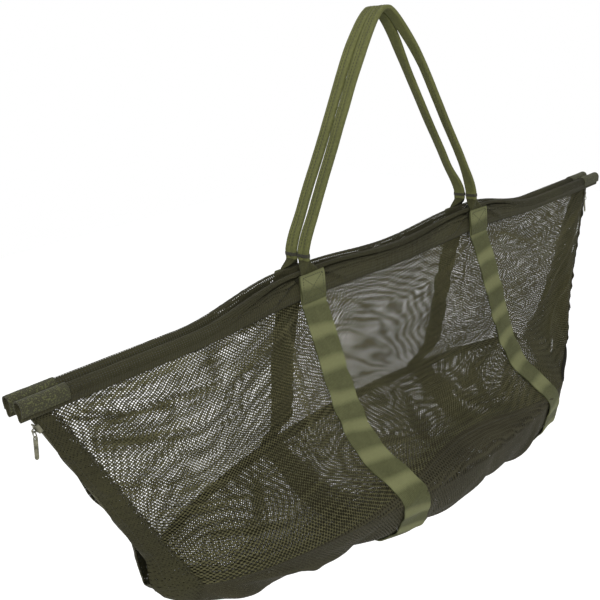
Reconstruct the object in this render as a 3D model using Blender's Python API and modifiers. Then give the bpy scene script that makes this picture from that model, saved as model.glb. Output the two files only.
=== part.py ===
"""Weigh sling: a zipped mesh bag on two bars, hung from two webbing handles.

The origin is the hang point, under the tops of the two handles. X runs along the bars,
Y from the front wall to the rear wall, and Z is up. All sizes are in metres.
"""

import math

import bmesh
import bpy
from mathutils import Matrix, Vector

COLLECTION_NAME = "weigh_sling"
CUTTER_COLLECTION_NAME = "cutters"

# Fits
FIT_GAP = 0.0003  # kept between touching pieces
KEEL_GAP = 0.0003  # between the front and the rear half, under the middle of the base
CUT_OVERRUN = 0.002  # how far a cutter runs past what it cuts
MERGE_DISTANCE = 0.00001
BEVEL_ANGLE_DEG = 40.0  # edges sharper than this are softened

# Bars and their end caps
BAR_DROP = 0.305  # from the hang point down to the bars' centre lines
BAR_SPACING = 0.022  # between the two bars' centre lines
BAR_LENGTH = 1.078
BAR_DIAMETER = 0.010
BAR_BORE = 0.0074
BAR_SIDES = 16
CAP_HEAD = 0.006
CAP_SHANK = 0.014
CAP_EDGE = 0.0015

# Sleeves: the double hem along each top edge, with the bar inside
SLEEVE_LENGTH = 1.100
SLEEVE_FABRIC = 0.0010
SLEEVE_SLACK = 0.0005  # around the bar
SLEEVE_HANG = 0.0075  # how far the empty hem hangs below the bar between the straps
STRAP_LIFT = 0.0230  # how far a strap draws the hem up above the bar
LIFT_REACH = 0.155  # how far along the bar the hem is drawn up, to each side of a strap
SLEEVE_ARC_STEPS = 8
PATCH_LENGTH = 0.050
PATCH_FABRIC = 0.0008

# Walls and base: one skin for each half, from the sleeve down to the keel
WALL_FABRIC = 0.0010
WALL_TOP_HALF_LENGTH = 0.535  # half the wall's length under the sleeve
BASE_HALF_LENGTH = 0.425  # half the length of the boat-shaped base
BASE_HALF_WIDTH = 0.135
SEAM_DROP = 0.252  # from the bars down to the base seam at the middle
SEAM_END_DROP = 0.262  # the same at the tips of the base
BASE_SAG = 0.086  # from the base seam down to the keel at the middle
TIP_SAG = 0.0035  # the same at the tips
END_HALF_GAP = 0.0030  # from the middle plane to the wall's outer face at the zips
PLAN_POWER = 2.3
PLAN_ROOT = 0.5
HEM_POWER = 24.0
SAG_ROOT = 0.7
wall_row_shares = (
    # share of the way down the wall, share of the way out to the base seam
    (0.00, 0.00), (0.10, 0.12), (0.20, 0.19), (0.40, 0.30), (0.60, 0.42),
    (0.75, 0.54), (0.85, 0.68), (0.93, 0.86), (1.00, 1.00),
)
base_row_shares = (
    # share of the way in from the seam to the keel, share of the sag
    (0.14, 0.34), (0.32, 0.66), (0.54, 0.88), (0.77, 0.98), (0.92, 1.00), (1.00, 1.00),
)
middle_station_shares = (0.0, 0.22, 0.44, 0.64, 0.83)  # between the middle and a strap's inner edge
outer_station_shares = (0.18, 0.38, 0.58, 0.78, 1.0)  # between a strap's outer edge and the end part
lean_station_shares = (0.5, 1.0)  # between the start of the end part and the end band
band_station_shares = (0.0, 0.4, 0.75, 1.0)  # across the end band
base_end_shares = (0.5, 1.0)  # the same for the base's last columns, under the end band
END_PART_START = 0.350  # from here on, the columns lean with the zip

# Bands, bindings and zips
END_BAND_WIDTH = 0.028
BINDING_WIDTH = 0.018
BINDING_THICKNESS = 0.0012
BINDING_CLEARANCE = 0.0006
MITRE_LIMIT = 0.3
TAPE_THICKNESS = 0.0010
TAPE_WIDTH = 0.008
COIL_DEPTH = 0.0022
COIL_WIDTH = 0.0020
ZIP_TOP_MARGIN = 0.003  # from the wall's top corner down to the zip's first tooth
ZIP_BOTTOM_MARGIN = 0.008
STOP_LENGTH = 0.005
STOP_WALL = 0.0009

# Sliders, rings and pull tabs
SLIDER_LENGTH = 0.011
SLIDER_HALF_WIDTH = 0.0042
SLIDER_PLATE = 0.0018
SLIDER_EDGE = 0.0005
SLIDER_REST = 0.013  # from the zip's top down to the closed slider's middle
EYE_RADIUS = 0.0026
EYE_HOLE_RADIUS = 0.00130
EYE_THICKNESS = 0.0016
EYE_STANDOFF = 0.0019  # from the slider's plate out to the eye's middle
EYE_SIDES = 20
RING_RADIUS = 0.0036
RING_WIRE_RADIUS = 0.0006
RING_STEPS = 20
RING_SIDES = 8
TAB_LENGTH = 0.024
TAB_WIDTH = 0.0044
TAB_THICKNESS = 0.0012
TAB_HOLE_RADIUS = 0.0011
TAB_EDGE = 0.00025
TAB_ARC_STEPS = 8
TAB_LEAN_DEG = 7.0  # how far a hanging tab leans in along the zip

# Straps, handles and what joins them
STRAP_SPACING = 0.347
STRAP_WIDTH = 0.040
STRAP_THICKNESS = 0.0014
STRAP_TOP_RISE = 0.0275  # from the bars up to a strap's folded top
FOLD_LENGTH = 0.036
STRAP_FIRST_ROW = 2  # the row of the skin at which a strap comes to lie on the wall
HANDLE_SPACING = 0.0205  # between the two handles' centre lines
HANDLE_WIDTH = 0.017
HANDLE_THICKNESS = 0.0055
HANDLE_EDGE = 0.0012
NECK_RISE = 0.040  # from the bars up to a handle's lower ends
NECK_STRAIGHT = 0.011  # how far a handle's end stands straight up, under its thread band
HOOK_SEAT_LENGTH = 0.018
BARTACK_RISE = 0.004  # from a handle's lower end up to its thread band
BARTACK_LENGTH = 0.004
BARTACK_THICKNESS = 0.0006
ROOT_THICKNESS = 0.0014
ROOT_HALF_WIDTH = 0.017
ROOT_DEPTH = 0.006  # from the bars' centre down to the end of the handle's root
root_flare_shares = (0.30, 0.55, 0.70, 0.82, 0.92, 1.00)  # how far the root has opened out
HINGE_OUTSET = 0.001  # from a handle's outer face out to the line that it folds about
HINGE_RISE = 0.0035  # from the strap's folded top up to that line
handle_path_shares = (
    # share of the way out from the middle, share of the way up from the straight neck
    (1.000, 0.000), (0.960, 0.062), (0.875, 0.155), (0.785, 0.260), (0.655, 0.400),
    (0.540, 0.530), (0.430, 0.655), (0.335, 0.760), (0.240, 0.855), (0.145, 0.940),
)
HANDLE_SMOOTHING_STEPS = 2

# Worked out from the sizes above
BAR_Z = -BAR_DROP
BAR_Y = BAR_SPACING / 2
BAR_RADIUS = BAR_DIAMETER / 2
SLEEVE_HALF_THICKNESS = BAR_RADIUS + SLEEVE_SLACK + SLEEVE_FABRIC
SLEEVE_FACE_Y = BAR_Y + SLEEVE_HALF_THICKNESS
STRAP_X = STRAP_SPACING / 2
WALL_TOP_Y = BAR_Y + WALL_FABRIC / 2
ROOT_INNER_Y = SLEEVE_FACE_Y + FIT_GAP
ROOT_OUTER_Y = ROOT_INNER_Y + ROOT_THICKNESS
STRAP_INNER_Y = ROOT_OUTER_Y + FIT_GAP
STRAP_TOP_Z = BAR_Z + STRAP_TOP_RISE
NECK_Z = BAR_Z + NECK_RISE
HANDLE_Y = HANDLE_SPACING / 2
HANDLE_HALF_WIDTH = HANDLE_WIDTH / 2
SEAM_ROW = len(wall_row_shares) - 1
MOUTH_LINE_Z = BAR_Z - SEAM_DROP - BASE_SAG - WALL_FABRIC  # just under the keel's lowest place
WALL_TOP_END_Z = BAR_Z - SLEEVE_HALF_THICKNESS - SLEEVE_HANG - FIT_GAP
ZIP_TOP = Vector((WALL_TOP_HALF_LENGTH, 0, WALL_TOP_END_Z))
ZIP_BOTTOM = Vector((BASE_HALF_LENGTH, 0, BAR_Z - SEAM_END_DROP))
ZIP_DOWN = (ZIP_BOTTOM - ZIP_TOP).normalized()
ZIP_OUT = Vector((-ZIP_DOWN.z, 0, ZIP_DOWN.x))
ZIP_LENGTH = (ZIP_BOTTOM - ZIP_TOP).length - ZIP_TOP_MARGIN - ZIP_BOTTOM_MARGIN
COIL_INNER = FIT_GAP
COIL_OUTER = COIL_INNER + COIL_DEPTH
PLATE_INNER = COIL_OUTER + FIT_GAP
PLATE_OUTER = PLATE_INNER + SLIDER_PLATE
TAPE_OUTER_Y = KEEL_GAP / 2 + TAPE_THICKNESS
COIL_OUTER_Y = KEEL_GAP / 2 + COIL_WIDTH


def clear_scene():
    for obj in list(bpy.data.objects):
        bpy.data.objects.remove(obj, do_unlink=True)


def make_collection(name, helper=False):
    collection = bpy.data.collections.new(name)
    bpy.context.scene.collection.children.link(collection)
    collection.hide_render = helper
    return collection


def make_material(name, color, roughness, metallic=0.0):
    material = bpy.data.materials.new(name)
    material.use_nodes = True
    shader = material.node_tree.nodes["Principled BSDF"]
    shader.inputs["Base Color"].default_value = (*color, 1.0)
    shader.inputs["Roughness"].default_value = roughness
    shader.inputs["Metallic"].default_value = metallic
    material.diffuse_color = (*color, 1.0)
    return material


def finish(name, mesh_builder, material, parent=None, origin=None):
    """Turns a bmesh into a named object of the sling, with its origin where it turns or slides."""
    mesh = bpy.data.meshes.new(name)
    if origin is not None:
        bmesh.ops.translate(mesh_builder, vec=-Vector(origin), verts=mesh_builder.verts)
    mesh_builder.to_mesh(mesh)
    mesh_builder.free()
    obj = bpy.data.objects.new(name, mesh)
    PARTS.objects.link(obj)
    obj.data.materials.append(material)
    if origin is not None:
        obj.location = origin
    if parent is not None:
        obj.parent = parent
        obj.location = Vector(obj.location) - parent.matrix_world.translation
    return obj


def make_empty(name, location, parent=None):
    empty = bpy.data.objects.new(name, None)
    PARTS.objects.link(empty)
    empty.location = location
    if parent is not None:
        empty.parent = parent
        empty.location = Vector(location) - parent.matrix_world.translation
    bpy.context.view_layer.update()
    return empty


def face_outward(builder):
    """Points the faces of a closed mesh outwards."""
    bmesh.ops.recalc_face_normals(builder, faces=builder.faces)
    if builder.calc_volume(signed=True) < 0:
        bmesh.ops.reverse_faces(builder, faces=builder.faces)


def loft(rings, capped=True):
    """Skins a row of closed rings that have the same number of points."""
    builder = bmesh.new()
    rows = [[builder.verts.new(point) for point in ring] for ring in rings]
    count = len(rows[0])
    for row, following in zip(rows, rows[1:]):
        for i in range(count):
            j = (i + 1) % count
            builder.faces.new((row[i], row[j], following[j], following[i]))
    if capped:
        builder.faces.new(rows[0])
        builder.faces.new(list(reversed(rows[-1])))
        face_outward(builder)
    else:
        bmesh.ops.recalc_face_normals(builder, faces=builder.faces)
    return builder


def sheet(outer, inner):
    """A closed sheet of fabric between two grids of points of the same size."""
    builder = bmesh.new()
    grids = [[[builder.verts.new(point) for point in row] for row in grid] for grid in (outer, inner)]
    rows, columns = len(outer), len(outer[0])
    for grid in grids:
        for r in range(rows - 1):
            for c in range(columns - 1):
                builder.faces.new((grid[r][c], grid[r][c + 1], grid[r + 1][c + 1], grid[r + 1][c]))
    rim = [(0, c) for c in range(columns)]
    rim += [(r, columns - 1) for r in range(1, rows)]
    rim += [(rows - 1, c) for c in range(columns - 2, -1, -1)]
    rim += [(r, 0) for r in range(rows - 2, 0, -1)]
    for (r, c), (s, d) in zip(rim, rim[1:] + rim[:1]):
        builder.faces.new((grids[0][r][c], grids[0][s][d], grids[1][s][d], grids[1][r][c]))
    face_outward(builder)
    return builder


def prism(outline, place, depth):
    """An outline in the X and Y of a placed frame, extruded along its Z."""
    builder = bmesh.new()
    face = builder.faces.new([builder.verts.new((x, y, 0)) for x, y in outline])
    drawn = bmesh.ops.extrude_face_region(builder, geom=[face])["geom"]
    far_side = [item for item in drawn if isinstance(item, bmesh.types.BMVert)]
    bmesh.ops.translate(builder, vec=(0, 0, depth), verts=far_side)
    builder.transform(place)
    face_outward(builder)
    return builder


def smooth_path(points, steps):
    """Catmull-Rom points through a row of 2D points."""
    out = []
    for i in range(len(points) - 1):
        a = points[max(i - 1, 0)]
        b, c = points[i], points[i + 1]
        d = points[min(i + 2, len(points) - 1)]
        for k in range(steps):
            t = k / steps
            out.append(tuple(
                0.5 * (2 * b[n] + (c[n] - a[n]) * t
                       + (2 * a[n] - 5 * b[n] + 4 * c[n] - d[n]) * t ** 2
                       + (3 * b[n] - a[n] - 3 * c[n] + d[n]) * t ** 3)
                for n in range(2)
            ))
    out.append(tuple(points[-1]))
    return out


def hem_lift(x):
    """How far a strap draws the hem up at x, from 0 to 1."""
    away = max(abs(abs(x) - STRAP_X) - STRAP_WIDTH / 2, 0)
    reach = LIFT_REACH - STRAP_WIDTH / 2
    return 0.5 * (1 + math.cos(math.pi * min(away / reach, 1)))


def sleeve_top_centre(x):
    return BAR_Z + STRAP_LIFT * hem_lift(x)


def sleeve_bottom_centre(x):
    return BAR_Z - SLEEVE_HANG * (1 - hem_lift(x))


def wall_top(x):
    return sleeve_bottom_centre(x) - SLEEVE_HALF_THICKNESS - FIT_GAP


def half_length(down):
    return WALL_TOP_HALF_LENGTH + (BASE_HALF_LENGTH - WALL_TOP_HALF_LENGTH) * down


def plan_share(u):
    return (1 - u ** PLAN_POWER) ** PLAN_ROOT


def wall_point(x, down, out):
    """A point (y, z) of the skin's outer face on the wall, with y counted outwards."""
    u = min(abs(x) / half_length(down), 1)
    hem = (WALL_TOP_Y - END_HALF_GAP) * (1 - down) * (1 - u ** HEM_POWER)
    y = END_HALF_GAP + hem + (BASE_HALF_WIDTH - END_HALF_GAP) * out * plan_share(u)
    seam = BAR_Z - SEAM_DROP - (SEAM_END_DROP - SEAM_DROP) * u ** 2
    return y, wall_top(x) + (seam - wall_top(x)) * down


def base_point(x, inward, sag):
    y_seam, z_seam = wall_point(x, 1, 1)
    u = min(abs(x) / BASE_HALF_LENGTH, 1)
    depth = TIP_SAG + (BASE_SAG - TIP_SAG) * plan_share(u) ** SAG_ROOT
    return KEEL_GAP / 2 + (y_seam - KEEL_GAP / 2) * (1 - inward), z_seam - depth * sag


def skin_rows(xs):
    """The skin's (x, y, z) points and their outward normals, row by row.

    xs gives one x for every row, so that a column can lean with the zip.
    """
    points = [Vector(wall_point(x, down, out)) for x, (down, out) in zip(xs, wall_row_shares)]
    x_base = xs[SEAM_ROW]
    points += [Vector(base_point(x_base, inward, sag)) for inward, sag in base_row_shares]
    normals = []
    for i in range(len(points)):
        before = points[i] - points[i - 1] if i else points[1] - points[0]
        after = points[i + 1] - points[i] if i + 1 < len(points) else before
        way = before.normalized() + after.normalized()
        normals.append(Vector((-way.y, way.x)).normalized())
    normals[-1] = Vector((0, -1))
    all_xs = list(xs) + [x_base] * len(base_row_shares)
    return all_xs, points, normals


def upright_column(x):
    return [x] * len(wall_row_shares)


def leaning_column(share):
    """A column of the end part: share 0 is its start, 1 is the wall's edge beside the end band."""
    column = []
    for down, _ in wall_row_shares:
        end = half_length(down) - END_BAND_WIDTH
        column.append(END_PART_START + (end - END_PART_START) * share)
    return column


def band_column(share):
    """A column of the end band: share 0 is the band's inner edge, 1 the end of the bag."""
    return [half_length(down) - END_BAND_WIDTH * (1 - share) for down, _ in wall_row_shares]


def half_columns():
    """Columns from the middle out to the edge beside the end band, for positive x."""
    inner_edge = STRAP_X - STRAP_WIDTH / 2
    outer_edge = STRAP_X + STRAP_WIDTH / 2
    columns = [upright_column(inner_edge * share) for share in middle_station_shares]
    columns += [upright_column(x) for x in (inner_edge, STRAP_X, outer_edge)]
    span = END_PART_START - outer_edge
    columns += [upright_column(outer_edge + span * share) for share in outer_station_shares]
    columns += [leaning_column(share) for share in lean_station_shares]
    return columns


def mirrored(columns):
    """The same columns for the whole length, from left to right."""
    left = [[-x for x in column] for column in reversed(columns[1:])]
    return left + columns


def skin_patch(columns, first, last, offset, side, first_shift=0.0, last_shift=0.0):
    """A grid of points at an offset from the skin, for some of its rows.

    A shift moves the first or last row along the skin, away from its neighbour.
    """
    grid = []
    for xs in columns:
        all_xs, points, normals = skin_rows(xs)
        line = []
        for i in range(first, last + 1):
            point = points[i].copy()
            if i == first and first_shift:
                point += (points[i + 1] - points[i]).normalized() * first_shift
            if i == last and last_shift:
                point += (points[i - 1] - points[i]).normalized() * last_shift
            point += normals[i] * offset
            line.append(Vector((all_xs[i], side * point.x, point.y)))
        grid.append(line)
    return grid


def make_wall(name, side, material):
    columns = mirrored(half_columns())
    for end in (columns[0], columns[-1]):
        inward = -FIT_GAP if end[0] > 0 else FIT_GAP
        end[:] = [x + inward for x in end]
    outer = skin_patch(columns, 0, SEAM_ROW, 0, side, last_shift=FIT_GAP)
    inner = skin_patch(columns, 0, SEAM_ROW, -WALL_FABRIC, side, last_shift=FIT_GAP)
    finish(name, sheet(outer, inner), material)


def make_base(name, side, material):
    columns = mirrored(half_columns() + [band_column(share) for share in base_end_shares])
    last = SEAM_ROW + len(base_row_shares)
    outer = skin_patch(columns, SEAM_ROW, last, 0, side, first_shift=FIT_GAP)
    inner = skin_patch(columns, SEAM_ROW, last, -WALL_FABRIC, side, first_shift=FIT_GAP)
    finish(name, sheet(outer, inner), material)


def make_end_band(name, side, end, material):
    columns = [band_column(share) for share in band_station_shares]
    columns = [[end * x for x in column] for column in columns]
    outer = skin_patch(columns, 0, SEAM_ROW, 0, side, last_shift=FIT_GAP)
    inner = skin_patch(columns, 0, SEAM_ROW, -WALL_FABRIC, side, last_shift=FIT_GAP)
    finish(name, sheet(outer, inner), material)


def make_binding(name, side, material):
    """The tape round the seam allowance, inside the bag along the base seam."""
    columns = mirrored(half_columns()[:-1])
    near = -WALL_FABRIC - BINDING_CLEARANCE
    grids = []
    for offset in (near, near - BINDING_THICKNESS):
        grid = []
        for xs in columns:
            all_xs, points, normals = skin_rows(xs)
            seam = points[SEAM_ROW]
            wall_way = (seam - points[SEAM_ROW - 1]).normalized()
            base_way = (points[SEAM_ROW + 1] - seam).normalized()
            wall_normal = Vector((-wall_way.y, wall_way.x))
            base_normal = Vector((-base_way.y, base_way.x))
            reach = BINDING_WIDTH / 2
            mitre = offset / max(wall_normal.dot(normals[SEAM_ROW]), MITRE_LIMIT)
            line = []
            for point in (
                seam - wall_way * reach + wall_normal * offset,
                seam + normals[SEAM_ROW] * mitre,
                seam + base_way * reach + base_normal * offset,
            ):
                line.append(Vector((all_xs[SEAM_ROW], side * point.x, point.y)))
            grid.append(line)
        grids.append(grid)
    finish(name, sheet(*grids), material)


def strap_path():
    """The (y, z, normal) rows of a strap down to where it meets the wall.

    The first rows are the folded end, which lies outside the strap's own top.
    """
    middle = STRAP_INNER_Y + STRAP_THICKNESS / 2
    layer = STRAP_THICKNESS + FIT_GAP
    low = STRAP_TOP_Z - FOLD_LENGTH
    turn = layer / 2
    rows = [
        (middle + layer, low, Vector((1, 0))),
        (middle + layer, STRAP_TOP_Z - turn, Vector((1, 0))),
        (middle + turn, STRAP_TOP_Z, Vector((0, 1))),
        (middle, STRAP_TOP_Z - turn, Vector((-1, 0))),
        (middle, low, Vector((-1, 0))),
    ]
    return rows


def make_strap(name, side, end, material):
    """One half of the webbing that runs under the bag, from its folded top down to the keel."""
    half = STRAP_THICKNESS / 2
    clear = FIT_GAP + half
    grids = ([], [])
    for x in (STRAP_X - STRAP_WIDTH / 2, STRAP_X, STRAP_X + STRAP_WIDTH / 2):
        all_xs, points, normals = skin_rows(upright_column(x))
        rows = strap_path()
        for i in range(STRAP_FIRST_ROW, len(points)):
            middle = points[i] + normals[i] * clear
            rows.append((middle.x, middle.y, -normals[i]))
        for grid, way in zip(grids, (1, -1)):
            line = []
            for y, z, normal in rows:
                shift = normal * (way * half)
                line.append(Vector((end * x, side * (y + shift.x), z + shift.y)))
            grid.append(line)
    finish(name, sheet(*grids), material)


def sleeve_ring(x, half, side):
    """The flat-sided oval round the bar at x, half its thickness from its centre line."""
    ring = []
    for centre, start in ((sleeve_top_centre(x), 0.0), (sleeve_bottom_centre(x), math.pi)):
        for i in range(SLEEVE_ARC_STEPS + 1):
            angle = start + math.pi * i / SLEEVE_ARC_STEPS
            y = BAR_Y + half * math.cos(angle)
            ring.append(Vector((x, side * y, centre + half * math.sin(angle))))
    return ring


def sleeve_stations():
    """The sleeve's stations lie over the wall's columns, so that both bend at the same places."""
    right = [column[0] for column in half_columns()] + [SLEEVE_LENGTH / 2]
    return [-x for x in reversed(right[1:])] + right


def add_solidify(obj, thickness, offset=-1):
    """Thickens a surface inwards, or with offset 0 to both sides and with 1 outwards."""
    modifier = obj.modifiers.new("thickness", "SOLIDIFY")
    modifier.thickness = thickness
    modifier.offset = offset
    modifier.use_even_offset = True


def add_bevel(obj, width, segments=2):
    modifier = obj.modifiers.new("soft_edges", "BEVEL")
    modifier.width = width
    modifier.segments = segments
    modifier.limit_method = "ANGLE"
    modifier.angle_limit = math.radians(BEVEL_ANGLE_DEG)


def make_sleeve(name, side, material):
    rings = [sleeve_ring(x, SLEEVE_HALF_THICKNESS, side) for x in sleeve_stations()]
    builder = loft(rings, capped=False)
    builder.faces.ensure_lookup_table()
    face = builder.faces[0]
    if face.normal.y * (face.calc_center_median().y - side * BAR_Y) < 0:
        bmesh.ops.reverse_faces(builder, faces=builder.faces)
    add_solidify(finish(name, builder, material), SLEEVE_FABRIC)


def make_end_patch(name, side, end, material):
    """The doubled cloth that is sewn over a sleeve's end, open underneath."""
    outside = SLEEVE_HALF_THICKNESS + FIT_GAP + PATCH_FABRIC
    half = SLEEVE_LENGTH / 2
    grids = []
    for offset in (outside, outside - PATCH_FABRIC):
        grid = []
        for x in (half - PATCH_LENGTH, half - PATCH_LENGTH / 2, half):
            top, bottom = sleeve_top_centre(x), sleeve_bottom_centre(x)
            arc = []
            for i in range(SLEEVE_ARC_STEPS + 1):
                angle = math.pi * i / SLEEVE_ARC_STEPS
                arc.append((BAR_Y + offset * math.cos(angle), top + offset * math.sin(angle)))
            arc = [(arc[0][0], bottom)] + arc + [(arc[-1][0], bottom)]
            grid.append([Vector((end * x, side * y, z)) for y, z in arc])
        grids.append(grid)
    finish(name, sheet(*grids), material)


def make_bar(name, side, material):
    middle = Vector((0, side * BAR_Y, BAR_Z))
    builder = bmesh.new()
    bmesh.ops.create_cone(
        builder, cap_ends=False, segments=BAR_SIDES, radius1=BAR_RADIUS, radius2=BAR_RADIUS,
        depth=BAR_LENGTH, matrix=Matrix.Translation(middle) @ Matrix.Rotation(math.pi / 2, 4, "Y"),
    )
    bar = finish(name, builder, material, origin=middle)
    add_solidify(bar, (BAR_DIAMETER - BAR_BORE) / 2)


def make_bar_cap(name, side, end, material):
    """A rubber plug: its shank fills the bar's bore and its head covers the bar's end."""
    shank = BAR_BORE / 2 - FIT_GAP
    profile = (
        # radius, place along the bar out from its end
        (0, CAP_HEAD), (BAR_RADIUS - CAP_EDGE, CAP_HEAD), (BAR_RADIUS, CAP_HEAD - CAP_EDGE),
        (BAR_RADIUS, 0), (shank, 0), (shank, CAP_EDGE - CAP_SHANK),
        (shank - CAP_EDGE, -CAP_SHANK), (0, -CAP_SHANK),
    )
    builder = bmesh.new()
    corners = [builder.verts.new((radius, 0, out)) for radius, out in profile]
    for corner, following in zip(corners, corners[1:]):
        builder.edges.new((corner, following))
    cap = finish(name, builder, material)
    cap.location = (end * (BAR_LENGTH / 2 + FIT_GAP), side * BAR_Y, BAR_Z)
    cap.rotation_euler.y = end * math.pi / 2
    turn = cap.modifiers.new("turn", "SCREW")
    turn.steps = BAR_SIDES
    turn.render_steps = BAR_SIDES
    turn.use_merge_vertices = True
    turn.merge_threshold = MERGE_DISTANCE


def mirror_x(vector, end):
    return Vector((end * vector.x, vector.y, vector.z))


def zip_place(distance, end):
    """A point on the middle line of a zip, a distance down from its top."""
    return mirror_x(ZIP_TOP + ZIP_DOWN * (ZIP_TOP_MARGIN + distance), end)


def zip_frame(distance, end):
    """A frame on a zip's middle line: X points out of the bag, Y to the rear, Z down the zip."""
    turn = Matrix((mirror_x(ZIP_OUT, end), (0, 1, 0), mirror_x(ZIP_DOWN, end))).transposed()
    return Matrix.Translation(zip_place(distance, end)) @ turn.to_4x4()


def make_zip_tape(name, side, end, material):
    near = side * KEEL_GAP / 2
    tape = side * TAPE_OUTER_Y
    coil = side * COIL_OUTER_Y
    outline = (
        (-TAPE_WIDTH, near), (COIL_OUTER, near), (COIL_OUTER, coil),
        (COIL_INNER, coil), (COIL_INNER, tape), (-TAPE_WIDTH, tape),
    )
    finish(name, prism(outline, zip_frame(0, end), ZIP_LENGTH), material)


def make_zip_stop(name, end, material):
    """The small clip that closes the lower end of a zip, on the front tape's coil."""
    inner = COIL_OUTER_Y + FIT_GAP
    outer = inner + STOP_WALL
    face = COIL_OUTER + FIT_GAP
    outline = (
        (COIL_INNER, -outer), (face + STOP_WALL, -outer), (face + STOP_WALL, -KEEL_GAP / 2),
        (face, -KEEL_GAP / 2), (face, -inner), (COIL_INNER, -inner),
    )
    finish(name, prism(outline, zip_frame(ZIP_LENGTH - STOP_LENGTH, end), STOP_LENGTH), material)


def eye_centre(end):
    return zip_place(SLIDER_REST, end) + mirror_x(ZIP_OUT, end) * (PLATE_OUTER + EYE_STANDOFF)


def make_cutter(name, builder):
    mesh = bpy.data.meshes.new(name)
    builder.to_mesh(mesh)
    builder.free()
    cutter = bpy.data.objects.new(name, mesh)
    CUTTERS.objects.link(cutter)
    cutter.hide_render = True
    cutter.display_type = "WIRE"
    return cutter


def add_boolean(obj, other, operation):
    modifier = obj.modifiers.new(operation.lower(), "BOOLEAN")
    modifier.operation = operation
    modifier.object = other


def make_disc(centre, radius, thickness, sides):
    """A closed disc whose axis is along Y."""
    builder = bmesh.new()
    bmesh.ops.create_cone(
        builder, cap_ends=True, segments=sides, radius1=radius, radius2=radius, depth=thickness,
        matrix=Matrix.Translation(centre) @ Matrix.Rotation(math.pi / 2, 4, "X"),
    )
    return builder


def make_slider(name, end, material):
    """The slider's plate runs outside both coils, and its front flank beside the front coil."""
    flank_inner = COIL_OUTER_Y + FIT_GAP
    outline = (
        (COIL_INNER, -SLIDER_HALF_WIDTH), (PLATE_OUTER, -SLIDER_HALF_WIDTH),
        (PLATE_OUTER, SLIDER_HALF_WIDTH), (PLATE_INNER, SLIDER_HALF_WIDTH),
        (PLATE_INNER, -flank_inner), (COIL_INNER, -flank_inner),
    )
    builder = prism(outline, zip_frame(SLIDER_REST - SLIDER_LENGTH / 2, end), SLIDER_LENGTH)
    slider = finish(name, builder, material, origin=zip_place(SLIDER_REST, end))
    add_bevel(slider, SLIDER_EDGE, segments=1)
    eye = make_cutter(name + "_eye", make_disc(eye_centre(end), EYE_RADIUS, EYE_THICKNESS, EYE_SIDES))
    hole_length = EYE_THICKNESS + CUT_OVERRUN
    hole = make_cutter(name + "_hole", make_disc(eye_centre(end), EYE_HOLE_RADIUS, hole_length, EYE_SIDES))
    add_boolean(slider, eye, "UNION")
    add_boolean(slider, hole, "DIFFERENCE")
    return slider


def ring_pivot(end):
    """Where the ring's wire hangs in the slider's eye."""
    return eye_centre(end) - Vector((0, 0, EYE_HOLE_RADIUS - RING_WIRE_RADIUS - FIT_GAP))


def tab_pivot(end):
    """The middle of the ring's wire at its lowest place, where the tab hangs."""
    return ring_pivot(end) - Vector((0, 0, 2 * RING_RADIUS))


def make_ring(name, end, material, parent):
    """A wire ring that hangs in the slider's eye, square to the length of the bag."""
    bpy.ops.mesh.primitive_torus_add(
        major_segments=RING_STEPS, minor_segments=RING_SIDES,
        major_radius=RING_RADIUS, minor_radius=RING_WIRE_RADIUS,
    )
    torus = bpy.context.object
    builder = bmesh.new()
    builder.from_mesh(torus.data)
    bpy.data.objects.remove(torus, do_unlink=True)
    middle = ring_pivot(end) - Vector((0, 0, RING_RADIUS))
    builder.transform(Matrix.Translation(middle) @ Matrix.Rotation(math.pi / 2, 4, "Y"))
    return finish(name, builder, material, parent=parent, origin=ring_pivot(end))


def make_pull_tab(name, end, material, parent):
    """A long narrow plate with round ends and a hole for the ring's wire."""
    radius = TAB_WIDTH / 2
    hole_drop = TAB_HOLE_RADIUS - RING_WIRE_RADIUS - FIT_GAP
    outline = []
    straight = TAB_LENGTH - TAB_WIDTH
    for low, start in ((0, 0), (straight, math.pi)):
        for i in range(TAB_ARC_STEPS + 1):
            angle = start + math.pi * i / TAB_ARC_STEPS
            outline.append((radius * math.cos(angle), radius * math.sin(angle) - low - hole_drop))
    lean = Matrix.Rotation(math.radians(-end * TAB_LEAN_DEG), 4, "Y")
    hang = Matrix.Translation(tab_pivot(end)) @ lean
    upright = Matrix.Rotation(math.pi / 2, 4, "X") @ Matrix.Translation((0, 0, -TAB_THICKNESS / 2))
    builder = prism(outline, hang @ upright, TAB_THICKNESS)
    tab = finish(name, builder, material, parent=parent, origin=tab_pivot(end))
    add_bevel(tab, TAB_EDGE, segments=1)
    hole_length = TAB_THICKNESS + CUT_OVERRUN
    hole_centre = hang @ Vector((0, 0, -hole_drop))
    hole = make_cutter(name + "_hole", make_disc(hole_centre, TAB_HOLE_RADIUS, hole_length, EYE_SIDES))
    add_boolean(tab, hole, "DIFFERENCE")


def handle_path():
    """The (x, z) points of a handle's middle surface, from its left end to its right end."""
    top = HANDLE_THICKNESS / 2
    start = NECK_Z + NECK_STRAIGHT
    right = [(STRAP_X * out, start + (top - start) * up) for out, up in handle_path_shares]
    right.append((HOOK_SEAT_LENGTH / 2, top))
    right = [(STRAP_X, NECK_Z)] + smooth_path(right, HANDLE_SMOOTHING_STEPS)
    return [(-x, z) for x, z in right] + [(x, z) for x, z in reversed(right)]


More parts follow.
